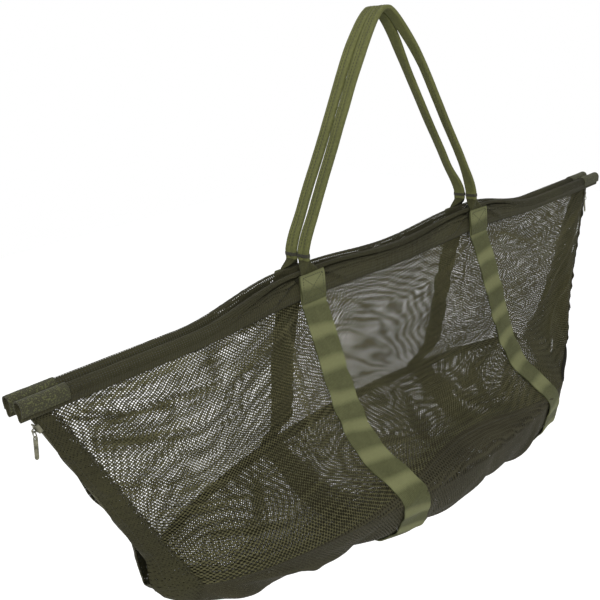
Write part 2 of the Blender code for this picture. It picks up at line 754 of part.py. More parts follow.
def make_handle(name, side, material, pivot):
    """Webbing folded to half its width, from its left end over the top to its right end."""
    builder = bmesh.new()
    rows = []
    for x, z in handle_path():
        row = []
        for across in (-HANDLE_HALF_WIDTH, HANDLE_HALF_WIDTH):
            row.append(builder.verts.new((x, side * HANDLE_Y + across, z)))
        rows.append(row)
    for row, following in zip(rows, rows[1:]):
        builder.faces.new((row[0], row[1], following[1], following[0]))
    bmesh.ops.recalc_face_normals(builder, faces=builder.faces)
    handle = finish(name, builder, material, parent=pivot, origin=pivot.matrix_world.translation)
    add_solidify(handle, HANDLE_THICKNESS, offset=0)
    add_bevel(handle, HANDLE_EDGE)


def make_bartack(name, side, end, material, pivot):
    """The band of thread that holds the handle's folded webbing shut, as a ring round it."""
    inside = (HANDLE_THICKNESS + 2 * FIT_GAP, HANDLE_WIDTH + 2 * FIT_GAP, BARTACK_LENGTH)
    middle = (end * STRAP_X, side * HANDLE_Y, NECK_Z + BARTACK_RISE + BARTACK_LENGTH / 2)
    builder = bmesh.new()
    bmesh.ops.create_cube(builder, size=1, matrix=Matrix.LocRotScale(middle, None, inside))
    builder.normal_update()
    open_ends = [face for face in builder.faces if abs(face.normal.z) > abs(face.normal.xy.length)]
    bmesh.ops.delete(builder, geom=open_ends, context="FACES")
    band = finish(name, builder, material, parent=pivot, origin=pivot.matrix_world.translation)
    add_solidify(band, BARTACK_THICKNESS, offset=1)


def make_handle_root(name, side, end, material):
    """The opened-out end of the handle, from the neck down behind the strap's folded top."""
    centre = sleeve_top_centre(STRAP_X)
    reach = SLEEVE_HALF_THICKNESS + FIT_GAP
    neck_inner = HANDLE_Y - HANDLE_HALF_WIDTH
    neck_outer = HANDLE_Y + HANDLE_HALF_WIDTH
    neck_half = HANDLE_THICKNESS / 2
    above = centre + reach
    sections = [
        # height, inner y, outer y, half width along the bar
        (NECK_Z - FIT_GAP, neck_inner, neck_outer, neck_half),
        ((NECK_Z + above) / 2, (neck_inner + BAR_Y) / 2, (neck_outer + ROOT_OUTER_Y) / 2,
         neck_half + (ROOT_HALF_WIDTH - neck_half) * root_flare_shares[0]),
    ]
    for i, share in enumerate(root_flare_shares[1:]):
        angle = math.pi / 2 * (1 - i / (len(root_flare_shares) - 2))
        half = neck_half + (ROOT_HALF_WIDTH - neck_half) * share
        y_in = BAR_Y + reach * math.cos(angle)
        sections.append((centre + reach * math.sin(angle), y_in, ROOT_OUTER_Y, half))
    sections.append((BAR_Z - ROOT_DEPTH, ROOT_INNER_Y, ROOT_OUTER_Y, ROOT_HALF_WIDTH))
    rings = []
    for z, y_in, y_out, half in sections:
        corners = ((-half, y_in), (half, y_in), (half, y_out), (-half, y_out))
        rings.append([Vector((end * STRAP_X + x, side * y, z)) for x, y in corners])
    finish(name, loft(rings), material)


def build_half(half, side, olive, mesh, hem, patch, tape, graphite, rubber):
    make_bar("bar_" + half, side, graphite)
    make_sleeve("sleeve_" + half, side, hem)
    make_wall("wall_" + half, side, mesh)
    make_base("base_" + half, side, mesh)
    make_binding("base_binding_" + half, side, hem)
    for word, end in (("left", -1), ("right", 1)):
        suffix = half + "_" + word
        make_bar_cap("bar_cap_" + suffix, side, end, rubber)
        make_end_patch("sleeve_end_" + suffix, side, end, patch)
        make_end_band("end_band_" + suffix, side, end, hem)
        make_zip_tape("zip_tape_" + suffix, side, end, tape)
        make_strap("strap_" + suffix, side, end, olive)
        make_handle_root("handle_root_" + suffix, side, end, olive)


def build_handle(half, side, olive, thread):
    line_y = HANDLE_Y + HANDLE_HALF_WIDTH + HINGE_OUTSET
    pivot = make_empty("handle_line_" + half, (0, side * line_y, STRAP_TOP_Z + HINGE_RISE))
    make_handle("handle_" + half, side, olive, pivot)
    for word, end in (("left", -1), ("right", 1)):
        make_bartack("bartack_" + half + "_" + word, side, end, thread, pivot)


def carry(pivot, half):
    """Makes an empty the parent of a half's pieces, which stay where they are."""
    bpy.context.view_layer.update()
    for piece in list(PARTS.objects):
        if half in piece.name and piece.parent is None:
            piece.parent = pivot
            piece.matrix_parent_inverse = pivot.matrix_world.inverted()


def build_zip(word, end, metal):
    slider = make_slider("zip_slider_" + word, end, metal)
    bpy.context.view_layer.update()
    ring = make_ring("pull_ring_" + word, end, metal, slider)
    bpy.context.view_layer.update()
    make_pull_tab("pull_tab_" + word, end, metal, ring)
    make_zip_stop("zip_stop_" + word, end, metal)


clear_scene()
PARTS = make_collection(COLLECTION_NAME)
CUTTERS = make_collection(CUTTER_COLLECTION_NAME, helper=True)

olive_webbing = make_material("olive_webbing", (0.163, 0.170, 0.073), 0.85)
olive_mesh = make_material("olive_mesh", (0.060, 0.060, 0.036), 0.80)
dense_hem = make_material("dense_hem", (0.048, 0.046, 0.028), 0.85)
patch_cloth = make_material("patch_cloth", (0.080, 0.080, 0.040), 0.85)
zip_cloth = make_material("zip_cloth", (0.075, 0.072, 0.045), 0.80)
dark_thread = make_material("dark_thread", (0.040, 0.040, 0.022), 0.85)
gunmetal = make_material("gunmetal", (0.180, 0.180, 0.150), 0.35, metallic=1.0)
grey_tube = make_material("grey_tube", (0.120, 0.120, 0.115), 0.40)
black_rubber = make_material("black_rubber", (0.020, 0.020, 0.019), 0.70)

for half_name, half_side in (("front", -1), ("rear", 1)):
    build_half(
        half_name, half_side, olive_webbing, olive_mesh, dense_hem,
        patch_cloth, zip_cloth, grey_tube, black_rubber,
    )
    build_handle(half_name, half_side, olive_webbing, dark_thread)
carry(make_empty("mouth_line", (0, 0, MOUTH_LINE_Z)), "rear")
for end_word, end_side in (("left", -1), ("right", 1)):
    build_zip(end_word, end_side, gunmetal)
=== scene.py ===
# %% [markdown]
# # A weigh sling in olive mesh
# The sling is a long zipped mesh bag. Two bars run in hems along its top edges, two webbing straps
# pass under it, and two handles of folded webbing meet at one hang point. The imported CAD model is
# loaded as a fixed frame first, so that each cloth piece is made round it, in metres, in its place.

# %% load the frame
import math

import bmesh
import bpy
from mathutils import Matrix, Vector, noise


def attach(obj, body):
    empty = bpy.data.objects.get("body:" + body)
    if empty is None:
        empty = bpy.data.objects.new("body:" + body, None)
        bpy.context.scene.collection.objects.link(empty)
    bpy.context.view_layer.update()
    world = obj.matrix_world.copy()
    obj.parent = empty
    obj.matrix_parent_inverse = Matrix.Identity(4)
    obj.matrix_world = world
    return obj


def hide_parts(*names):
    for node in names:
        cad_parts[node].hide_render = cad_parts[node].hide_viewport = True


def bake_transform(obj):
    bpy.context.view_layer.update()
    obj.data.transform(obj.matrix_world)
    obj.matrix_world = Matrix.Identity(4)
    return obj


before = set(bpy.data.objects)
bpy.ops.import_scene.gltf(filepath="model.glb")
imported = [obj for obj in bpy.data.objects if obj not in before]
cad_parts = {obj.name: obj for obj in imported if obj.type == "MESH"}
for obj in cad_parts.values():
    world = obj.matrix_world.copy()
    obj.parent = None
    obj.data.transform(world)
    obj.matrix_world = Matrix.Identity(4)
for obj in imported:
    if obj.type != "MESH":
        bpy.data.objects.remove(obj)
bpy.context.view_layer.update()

# %% [markdown]
# ## The camera
# The camera stands to the left and in front of the bag, and looks a little down on it. Its place came
# from matching the ends of the hems, the tops of the straps and the hang point with the picture.

# %% camera
CAMERA_PLACE = Vector((-0.8376, -0.6999, 0.0064))
CAMERA_RIGHT = Vector((0.7025, -0.7057, -0.0920)).normalized()
CAMERA_AHEAD = Vector((0.6512, 0.6895, -0.3171)).normalized()
LENS_MM = 50.5

bpy.ops.object.select_all(action="DESELECT")
bpy.ops.object.camera_add()
camera = bpy.context.object
camera.name = "camera"
turn = Matrix((CAMERA_RIGHT, CAMERA_RIGHT.cross(CAMERA_AHEAD), -CAMERA_AHEAD)).transposed()
camera.matrix_world = Matrix.Translation(CAMERA_PLACE) @ turn.to_4x4()
camera.data.lens = LENS_MM
camera.data.sensor_width = 36
camera.data.clip_start = 0.01
bpy.context.scene.camera = camera
print("camera at", [round(x, 3) for x in camera.location])

# %% [markdown]
# ## The sizes of the bag
# Everything hangs from one idea: a skin that starts at the hems, widens down to the base seam and
# rounds under to the keel. Each piece of cloth is a part of that skin, moved a little in or out. Most
# sizes below are the CAD model's own. LIFT_REACH and TAUT_DIP were fitted to the picture, and so were
# the slump, the fullness and the seam's rise, which the symmetric CAD model doesn't have.

# %% sizes
BAR_Z, BAR_Y = -0.305, 0.011
HEM_HALF = 0.0065
HEM_LENGTH, HEM_HANG = 1.100, 0.0075
STRAP_X, STRAP_WIDTH = 0.1735, 0.040
STRAP_LIFT, LIFT_REACH, TAUT_DIP = 0.0230, 0.180, 0.38  # how the straps draw the hems up
TOP_HALF_LENGTH, BASE_HALF_LENGTH, BASE_HALF_WIDTH = 0.535, 0.425, 0.135
SEAM_DROP, SEAM_END_DROP, BASE_SAG, TIP_SAG = 0.252, 0.262, 0.086, 0.0035
END_HALF_GAP, END_BAND = 0.0030, 0.028
LEAN_START = 0.350
LAYER_GAP = 0.0003  # what two layers keep between them
# how far the bag hangs askew, is full or drawn in, and its seam rides up
SLUMP_TURN, SLUMP_SEAM, SLUMP_TILT, SLUMP_KEEL, SLUMP_SWAY = 0.008, 0.002, 0.008, 0.004, 0.022
FULL_UNDER, DRAWN_IN, SEAM_RISE = 0.020, 0.014, 0.10
# a share of the way down or in, and a share of the way out or down
WALL_ROWS = ((0.00, 0.00), (0.10, 0.12), (0.20, 0.19), (0.40, 0.30), (0.60, 0.42),
             (0.75, 0.54), (0.85, 0.68), (0.93, 0.86), (1.00, 1.00))
BASE_ROWS = ((0.0, 0.0), (0.14, 0.34), (0.32, 0.66), (0.54, 0.88), (0.77, 0.98), (0.92, 1.00),
             (1.00, 1.00))


def through(rows, t):
    """A smooth line through rows of (t, value)."""
    for i in range(len(rows) - 1):
        if t <= rows[i + 1][0] or i == len(rows) - 2:
            break
    (t0, v0), (t1, v1) = rows[i], rows[i + 1]
    before, after = rows[max(i - 1, 0)], rows[min(i + 2, len(rows) - 1)]
    s = min(max((t - t0) / (t1 - t0), 0), 1)
    m0 = (v1 - before[1]) / (t1 - before[0]) * (t1 - t0)
    m1 = (after[1] - v0) / (after[0] - t0) * (t1 - t0)
    return ((2 * s**3 - 3 * s**2 + 1) * v0 + (s**3 - 2 * s**2 + s) * m0
            + (3 * s**2 - 2 * s**3) * v1 + (s**3 - s**2) * m1)


def smooth(a, b, t):
    s = min(max((t - a) / (b - a), 0), 1)
    return s * s * (3 - 2 * s)


def between(a, b, c, d, t):
    """0 up to a, 1 from b to c, and 0 again from d on."""
    return smooth(a, b, t) * smooth(d, c, t)


def hump(x, width):
    """A rounded ridge of height 1 at x = 0."""
    return math.exp(-((x / width) ** 2))


def lift(x):
    """How far a strap draws the hem up, from 0 to 1. Between the straps the hem is nearly taut."""
    away = max(abs(abs(x) - STRAP_X) - STRAP_WIDTH / 2, 0)
    if abs(x) < STRAP_X:
        return 1 - TAUT_DIP * math.sin(math.pi / 2 * min(away / (STRAP_X - STRAP_WIDTH / 2), 1)) ** 2
    return 0.5 * (1 + math.cos(math.pi * min(away / (LIFT_REACH - STRAP_WIDTH / 2), 1)))


def hem_top(x):
    return BAR_Z + STRAP_LIFT * lift(x)


def hem_bottom(x):
    return BAR_Z - HEM_HANG * (1 - lift(x))


def half_length(down):
    return TOP_HALF_LENGTH + (BASE_HALF_LENGTH - TOP_HALF_LENGTH) * down


def plan(u):
    return (1 - min(abs(u), 1) ** 2.3) ** 0.5


def wall_yz(x, down):
    """The wall's outer face at x, a share of the way down: y counted outwards, and z."""
    u = min(abs(x) / half_length(down), 1)
    top = hem_bottom(x) - HEM_HALF - LAYER_GAP
    y = END_HALF_GAP + (BAR_Y + 0.0005 - END_HALF_GAP) * (1 - down) * (1 - u**24)
    y += (BASE_HALF_WIDTH - END_HALF_GAP) * through(WALL_ROWS, down) * plan(u)
    seam = BAR_Z - SEAM_DROP - (SEAM_END_DROP - SEAM_DROP) * u**2
    return y, top + (seam - top) * down


def base_yz(x, inward):
    """The same under the bag: inward is 0 at the seam and 1 at the keel."""
    y_seam, z_seam = wall_yz(x, 1)
    depth = TIP_SAG + (BASE_SAG - TIP_SAG) * plan(x / BASE_HALF_LENGTH) ** 0.7
    return y_seam * (1 - inward), z_seam - depth * through(BASE_ROWS, inward)


def slump(x, t):
    """How far the bag sags askew at x: along it, to the rear, and up. It fades to the hems and ends."""
    u, out = x / BASE_HALF_LENGTH, abs(x) / half_length(min(t, 1))
    free = smooth(1.0, 0.72, out) * smooth(0.05, 1.0, t)
    under = smooth(1.0, 1.6, t) * plan(u)
    sway = SLUMP_SWAY * smooth(1.0, 0.5, out) * smooth(0.3, 1.3, t)
    shift = SLUMP_TURN * u * free * (1 - max(t - 1, 0) ** 1.5)
    return sway, shift, -(SLUMP_SEAM + SLUMP_TILT * u) * free - (SLUMP_KEEL + SLUMP_TILT * u) * under


def fuller(x, t, side):
    """The front half hangs fuller under its middle, and is drawn in near its right end."""
    if side > 0:
        return 0.0
    slack = FULL_UNDER * between(-0.30, -0.06, 0.16, 0.38, x) * between(0.85, 1.35, 1.5, 1.88, t)
    return slack - DRAWN_IN * between(0.20, 0.32, 0.39, 0.425, x) * between(0.30, 0.80, 1.2, 1.8, t)


def ridden_up(x, t, side):
    """How far, as a share, the front seam has ridden up the bag's face between the straps."""
    return SEAM_RISE * hump(x + 0.03, 0.15) * between(0.35, 1.0, 1.0, 1.75, t) if side < 0 else 0.0


print("keel at", round(base_yz(0, 1)[1], 4), "and at the straps", round(base_yz(STRAP_X, 1)[1], 4))

# %% [markdown]
# ## How the cloth hangs
# A bag on two bars is never flat. The mesh sags in swags between the straps, it is drawn into creases
# at its corners, and the base is rumpled where the straps press it in. These folds are a height in
# metres that is added along the skin's normal, from a few waves and creases and some slow noise.

# %% folds
WALL_FALL = 0.280  # down the cloth from the hem to the base seam
BASE_FALL = 0.175  # from the base seam to the keel
CLOSE_HEIGHT = 0.0042  # in a crease of this height the cloth is gathered full
CREASES = (
    # from x, z to x, z, height, half width, on the front wall
    (-0.505, -0.332, -0.330, -0.322, 0.0045, 0.0045),
    (-0.498, -0.350, -0.300, -0.362, -0.0040, 0.0050),
    (-0.490, -0.372, -0.350, -0.392, 0.0040, 0.0045),
    (-0.455, -0.440, -0.330, -0.470, 0.0035, 0.0045),
    (-0.450, -0.462, -0.300, -0.500, -0.0035, 0.0050),
    (-0.225, -0.330, -0.235, -0.470, 0.0045, 0.0050),
    (-0.215, -0.500, -0.330, -0.530, 0.0035, 0.0060),
    (-0.150, -0.318, -0.085, -0.345, 0.0040, 0.0045),
    (-0.150, -0.350, -0.060, -0.420, 0.0032, 0.0050),
    (0.150, -0.318, 0.070, -0.352, 0.0038, 0.0045),
    (0.205, -0.320, 0.330, -0.372, 0.0040, 0.0055),
    (0.500, -0.340, 0.330, -0.400, -0.0040, 0.0055),
    (0.480, -0.370, 0.300, -0.470, 0.0042, 0.0060),
    (0.460, -0.430, 0.330, -0.520, 0.0038, 0.0060),
    (-0.200, -0.322, -0.330, -0.366, 0.0034, 0.0060),
)


def crease_height(x, z, creases=CREASES, scale=1.0):
    """The height of a few long creases. scale turns their second value into metres."""
    total = 0.0
    for x0, z0, x1, z1, height, width in creases:
        way = Vector((x1 - x0, (z1 - z0) * scale))
        at = Vector((x - x0, z - z0 * scale))
        share = at.dot(way) / way.length_squared
        if -0.1 < share < 1.1:
            ridge = hump((at - way * share).length, width)
            total += height * ridge * between(-0.1, 0.2, 0.7, 1.1, share)
    return total


def gathered(x, z, creases=CREASES, scale=1.0):
    """Where the cloth lies close in a crease: 1 in its middle."""
    return min((abs(crease_height(x, z, creases, scale)) / CLOSE_HEIGHT) ** 3, 1.0)


def bow(x):
    """How the rows of the knit hang in curves: 0 in the middle of a stretch, 1 at a strap or an end."""
    if abs(x) < STRAP_X:
        return (x / STRAP_X) ** 2
    return (2 * min((abs(x) - STRAP_X) / 0.30, 1.0) - 1) ** 2


def swag(x, down, depth, pitch):
    """Curved waves that hang between the straps, and outside them towards the ends."""
    phase = (down + 0.28 * bow(x)) / pitch
    return depth * math.sin(2 * math.pi * phase) * between(0.02, 0.15, 0.55, 0.95, down)


def off_straps(x):
    """0 under a strap's middle, and 1 from five centimetres beside it."""
    return min(1, abs(abs(x) - STRAP_X) / 0.05)


def wall_fold(x, z, down, side):
    inner = half_length(down) - END_BAND
    edge = smooth(1.0, 0.93, down) * smooth(inner, inner - 0.05, abs(x))
    slow = noise.noise(Vector((x * 7 + 3 * side, z * 9, side * 2.0)))
    fine = noise.noise(Vector((x * 22, z * 30 + side, 4.0)))
    height = swag(x, down, 0.0014, 0.13) + 0.0034 * slow + 0.0012 * fine + crease_height(-side * x, z)
    return height * edge * (0.25 + 0.75 * off_straps(x)) * smooth(0.0, 0.08, down)


BASE_CREASES = (
    # from x and share inward, to x and share inward, height, half width
    (-0.400, 0.10, -0.300, 0.75, 0.0050, 0.011),
    (-0.370, 0.05, -0.225, 0.40, 0.0045, 0.009),
    (-0.320, 0.85, -0.215, 0.45, -0.0040, 0.010),
    (-0.300, 0.12, -0.260, 0.90, 0.0045, 0.010),
    (-0.210, 0.10, -0.240, 0.80, -0.0040, 0.009),
    (-0.140, 0.08, -0.080, 0.85, 0.0045, 0.010),
    (-0.110, 0.65, 0.020, 0.25, 0.0042, 0.010),
    (0.000, 0.10, 0.060, 0.70, -0.0035, 0.010),
    (0.140, 0.12, 0.100, 0.85, 0.0045, 0.010),
    (0.205, 0.10, 0.280, 0.60, 0.0050, 0.011),
    (0.225, 0.60, 0.340, 0.20, 0.0045, 0.010),
    (0.330, 0.75, 0.390, 0.20, 0.0040, 0.010),
)


def base_fold(x, inward, side):
    slow = noise.noise(Vector((x * 11, side * inward * 2.4, 7.0)))
    fine = noise.noise(Vector((x * 30 + 9 * side, inward * 6.5, 2.0)))
    pull = math.sin(x * 62 + 3.0 * inward * side) * 0.0016 * between(0.0, 0.35, 0.6, 1.0, inward)
    folded = crease_height(-side * x, inward * BASE_FALL, BASE_CREASES, BASE_FALL)
    near_tip = smooth(1.0, 0.85, abs(x) / BASE_HALF_LENGTH)
    height = 0.0040 * slow + 0.0014 * fine + pull + folded
    return height * off_straps(x) * near_tip * between(0.0, 0.12, 0.80, 1.0, inward)


def skin(x, t, side, offset=0.0, folds=True):
    """A point of the skin. t runs from 0 at the hem to 1 at the base seam and 2 at the keel."""
    def plain(value):
        if value <= 1:
            return Vector(wall_yz(x, max(value, 0)))
        return Vector(base_yz(x, min(value - 1, 1)))

    on, step = t - ridden_up(x, t, side), 0.004
    here = plain(on)
    way = plain(min(on + step, 2)) - plain(max(on - step, 0))
    normal = Vector((-way.y, way.x)).normalized()
    if t > 1.999:
        normal = Vector((0, -1))
    height = offset + fuller(x, t, side)
    if folds:
        height += wall_fold(x, here.y, t, side) if t <= 1 else base_fold(x, t - 1, side)
    here = here + normal * height
    sway, shift, up = slump(x, t)
    return Vector((x + sway, side * max(here.x, 0.0) + shift, here.y + up))


print("a fold at the left hem:", round(wall_fold(-0.4, -0.33, 0.08, -1) * 1000, 2), "mm")

# %% [markdown]
# ## Helpers for cloth
# A sheet of cloth starts as Blender's own grid. Each of its points has a place across and along the
# cut cloth, and is moved to its place in space. The UV map keeps the cut cloth's own metres, so that
# the weave has one scale wherever the cloth goes. A Solidify modifier then gives it its thickness.

# %% cloth helpers
def clear_selection():
    if bpy.context.object and bpy.context.object.mode != "OBJECT":
        bpy.ops.object.mode_set(mode="OBJECT")
    bpy.ops.object.select_all(action="DESELECT")


def only(piece):
    clear_selection()
    piece.select_set(True)
    bpy.context.view_layer.objects.active = piece


def made(add, name=None, **sizes):
    """Adds a primitive with that operator."""
    clear_selection()
    add(**sizes)
    piece = bpy.context.object
    if name:
        piece.name = piece.data.name = name
    return piece


def in_edit_mode(piece, *steps):
    """Selects the whole piece and takes the steps in edit mode."""
    only(piece)
    bpy.ops.object.mode_set(mode="EDIT")
    bpy.ops.mesh.select_all(action="SELECT")
    for step in steps:
        step()
    bpy.ops.object.mode_set(mode="OBJECT")


def face_outwards():
    bpy.ops.mesh.select_all(action="SELECT")
    bpy.ops.mesh.normals_make_consistent(inside=False)


def fill_ends():
    bpy.ops.mesh.select_all(action="DESELECT")
    bpy.ops.mesh.select_non_manifold()
    bpy.ops.mesh.edge_face_add()


def smoothed(piece, degrees=50):
    only(piece)
    bpy.ops.object.shade_smooth_by_angle(angle=math.radians(degrees))
    return piece


def with_modifier(piece, kind, **settings):
    """Adds a modifier and applies it."""
    modifier = piece.modifiers.new(kind.lower(), kind)
    for key, value in settings.items():
        setattr(modifier, key, value)
    only(piece)
    bpy.ops.object.modifier_apply(modifier=modifier.name)


def cloth(name, across, along, place, cut, thickness, outward=None, offset=-1, closed=False,
          creased=None):
    """A grid whose point at shares s and t goes to place(s, t). cut(s, t) is its UV, in metres.
    creased(s, t) says how far the cloth lies in a crease there, for the material."""
    piece = made(
        bpy.ops.mesh.primitive_grid_add, name, x_subdivisions=across, y_subdivisions=along, size=1,
    )
    mesh = piece.data
    shares = [(v.co.x + 0.5, v.co.y + 0.5) for v in mesh.vertices]
    for vertex, (s, t) in zip(mesh.vertices, shares):
        vertex.co = place(s, t)
    uv = mesh.uv_layers[0]
    uv.name = "cut"
    for loop in mesh.loops:
        uv.data[loop.index].uv = cut(*shares[loop.vertex_index])
    if creased:
        mesh.attributes.new("crease", "FLOAT", "POINT")
        for i, (s, t) in enumerate(shares):
            mesh.attributes["crease"].data[i].value = creased(s, t)
    mesh.update()
    if outward:
        middle = mesh.polygons[len(mesh.polygons) // 2 + across // 2]
        if middle.normal.dot(outward(middle.center)) < 0:
            mesh.flip_normals()
    if closed:
        in_edit_mode(piece, lambda: bpy.ops.mesh.remove_doubles(threshold=0.00002))
    if thickness:
        with_modifier(piece, "SOLIDIFY", thickness=thickness, offset=offset)
    return smoothed(piece)


def tube(name, around, along, place, cut):
    """A closed skin: s runs round the piece and t along it. The seam is merged and the ends filled."""
    piece = cloth(name, around, along, place, cut, 0, closed=True)
    in_edit_mode(piece, fill_ends, face_outwards)
    return smoothed(piece)


def joined(name, parts):
    clear_selection()
    for part in parts:
        part.select_set(True)
    bpy.context.view_layer.objects.active = parts[0]
    bpy.ops.object.join()
    parts[0].name = parts[0].data.name = name
    return parts[0]


def dress(piece, body, material, slot, *nodes):
    """Gives a finished piece its material and its body, and hides the CAD nodes that it stands for."""
    piece.data.materials.clear()
    piece.data.materials.append(material)
    if nodes:
        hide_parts(*nodes)
    if body:
        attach(piece, body)


print("helpers ready")

# %% [markdown]
# ## The materials
# Every finish is a small node tree. The mesh reads the cut cloth's own metres: two grids of round
# holes, one shifted by half a cell, cut the surface away where a hole is, and the same pattern lifts
# the threads between them. Webbing and dense cloth use crossed waves for the weave, and slow noise
# for the uneven dye.

# %% node helpers
def tone(code):
    """A colour as a linear value, from its usual six digits."""
    parts = [int(code[i:i + 2], 16) / 255 for i in (0, 2, 4)]
    return (*[c / 12.92 if c < 0.04045 else ((c + 0.055) / 1.055) ** 2.4 for c in parts], 1.0)


class Nodes:
    """A short way to add nodes to a tree."""

    def __init__(self, tree):
        self.tree = tree

    def get(self, kind, output, inputs=None, **settings):
        """Adds a node with those inputs and settings, and gives one of its outputs."""
        node = self.tree.nodes.new("ShaderNode" + kind)
        for key, value in settings.items():
            setattr(node, key, value)
        for socket, value in (inputs or {}).items():
            self.into(node.inputs[socket], value)
        return node.outputs[output]

    def into(self, socket, value):
        if isinstance(value, bpy.types.NodeSocket):
            self.tree.links.new(value, socket)
        else:
            socket.default_value = value

    def math(self, operation, a, b=0.0):
        return self.get("Math", 0, {0: a, 1: b}, operation=operation)

    def plus(self, a, b):
        return self.math("ADD", a, b)

    def times(self, a, b):
        return self.math("MULTIPLY", a, b)

    def less(self, a, b):
        return self.math("SUBTRACT", a, b)

    def span(self, value, low, high, to_low=0.0, to_high=1.0):
        return self.get("MapRange", 0, {0: value, 1: low, 2: high, 3: to_low, 4: to_high})

    def blend(self, share, low, high):
        return self.get("Mix", 2, {0: share, 6: low, 7: high}, data_type="RGBA")

    def camera_share(self):
        """1 where a ray comes from the camera, a reflection or a refraction."""
        camera, glossy, through_glass = [
            self.get("LightPath", "Is %s Ray" % kind) for kind in ("Camera", "Glossy", "Transmission")
        ]
        return self.math("MAXIMUM", self.math("MAXIMUM", camera, glossy), through_glass)


class Finish(Nodes):
    """A material and its shader."""

    def __init__(self, name, roughness, metallic=0.0, sheen=0.0):
        self.material = bpy.data.materials.new(name)
        self.material.use_nodes = True
        super().__init__(self.material.node_tree)
        self.set("Roughness", roughness)
        self.set("Metallic", metallic)
        self.set("Sheen Weight", sheen)

    def set(self, socket, value):
        self.into(self.tree.nodes["Principled BSDF"].inputs[socket], value)

    def cut(self):
        return self.get("UVMap", 0, uv_map="cut")

    def noise(self, scale, detail=2.0, output="Fac", where=None):
        where = where or self.get("TexCoord", "Object")
        return self.get("TexNoise", output, {"Vector": where, "Scale": scale, "Detail": detail})

    def wave(self, pitch, direction, where=None, rough=(0.0, 2.0, 1.0)):
        """Bands with a pitch in metres, along X or Y. rough: distortion, its detail and its scale."""
        inputs = {"Vector": where or self.cut(), "Scale": 2 * math.pi / 20 / pitch}
        inputs.update(zip(("Distortion", "Detail", "Detail Scale"), rough))
        return self.get("TexWave", "Fac", inputs, bands_direction=direction)

    def vector(self, operation, a, b, output=0):
        return self.get("VectorMath", output, {0: a, 1: b}, operation=operation)

    def uneven_cut(self, scale, detail, reach):
        """The place on the cut cloth, moved about by noise as far as reach, in metres."""
        wobble = self.noise(scale, detail, "Color")
        wobble = self.get("VectorMath", 0, {0: wobble, "Scale": reach}, operation="SCALE")
        return self.vector("ADD", self.cut(), wobble)

    def color(self, share, dark, light):
        self.set("Base Color", self.blend(share, tone(dark), tone(light)))

    def bump(self, height, depth):
        self.set("Normal", self.get("Bump", 0, {"Height": height, "Distance": depth, "Strength": 1.0}))

    def dye_with_painted_shade(self, weave, dark, light, deep=0.35):
        """Slow and fine unevenness of the dye, mixed with the painted light and shade of the share it is
        given, such as the weave's own.
        """
        self.set("Specular IOR Level", 0.22)
        slow, fine = self.noise(9.0, 3.0), self.noise(420.0, 1.0)
        share = self.plus(self.times(slow, 0.55), self.times(fine, 0.45))
        share = self.plus(self.times(self.span(share, 0.32, 0.68), 1 - deep), self.times(weave, deep))
        self.color(share, dark, light)


# %% [markdown]
# ### The see-through mesh
# The holes are about three millimetres apart. Where two layers lie one behind the other, the two
# patterns beat against each other and draw the curved bands that such bags show. The cloth under the
# bag is the same knit with much smaller holes, and its threads are coloured darker as painted shade
# for the underside.

# %% mesh
def knit(name, hole, pulled, dark, light, open_edge=0.0):
    """Two grids of holes. pulled is how much the holes open and close where the rows bunch up.
    open_edge opens them further along the cut cloth's first edge."""
    finish = Finish(name, 0.85)
    there = finish.uneven_cut(26.0, 2.0, 0.0030)
    cells = finish.vector("MULTIPLY", there, (1 / KNIT_CELL[0], 1 / KNIT_CELL[1], 0))
    distances = []
    for half in (0.0, 0.5):
        within = finish.vector("FRACTION", finish.vector("ADD", cells, (half, half, 0)), (0, 0, 0))
        centred = finish.vector("SUBTRACT", within, (0.5, 0.5, 0))
        squeezed = finish.vector("MULTIPLY", centred, (0.88, 1.12, 0))
        distances.append(finish.vector("LENGTH", squeezed, (0, 0, 0), "Value"))
    grain = finish.less(finish.wave(0.0090, "Y", there, (7.0, 1.0, 0.30)), 0.5)
    patches = finish.span(finish.noise(11.0, where=finish.cut()), 0.35, 0.62, 0.25, 1.0)
    slow = finish.span(finish.noise(16.0), 0.3, 0.7, -0.2, 0.2)
    gather = finish.plus(finish.times(grain, patches), slow)
    crease = finish.get("Attribute", "Fac", attribute_name="crease")
    edge = finish.less(finish.plus(finish.times(gather, pulled), hole), finish.times(crease, 0.10))
    if open_edge:
        from_edge = finish.get("SeparateXYZ", "X", {0: finish.cut()})
        edge = finish.plus(edge, finish.span(from_edge, 0.001, 0.010, open_edge, 0.0))
    past = finish.less(finish.math("MINIMUM", *distances), edge)
    finish.set("Alpha", finish.span(past, -0.045, 0.045))
    strands = finish.span(past, 0.0, 0.08)
    finish.bump(strands, 0.0004)
    finish.dye_with_painted_shade(strands, dark, light)
    return finish.material


KNIT_CELL = (0.0042, 0.0046)  # across and along
open_mesh = knit("open_mesh", 0.262, 0.08, "302e1e", "646142")
# The base's threads are coloured darker than the walls', as painted shade for the underside.
base_mesh = knit("base_mesh", 0.168, 0.07, "252318", "464330")
print("mesh:", open_mesh.name, base_mesh.name)

# %% [markdown]
# ### Webbing, hems, tape and thread
# Webbing is a thick narrow weave with ribs along it and fine picks across. The hems are two layers of
# a close knit that shows as fine upright ribs, and the patches at their ends are a coarser cloth with
# lighter specks.

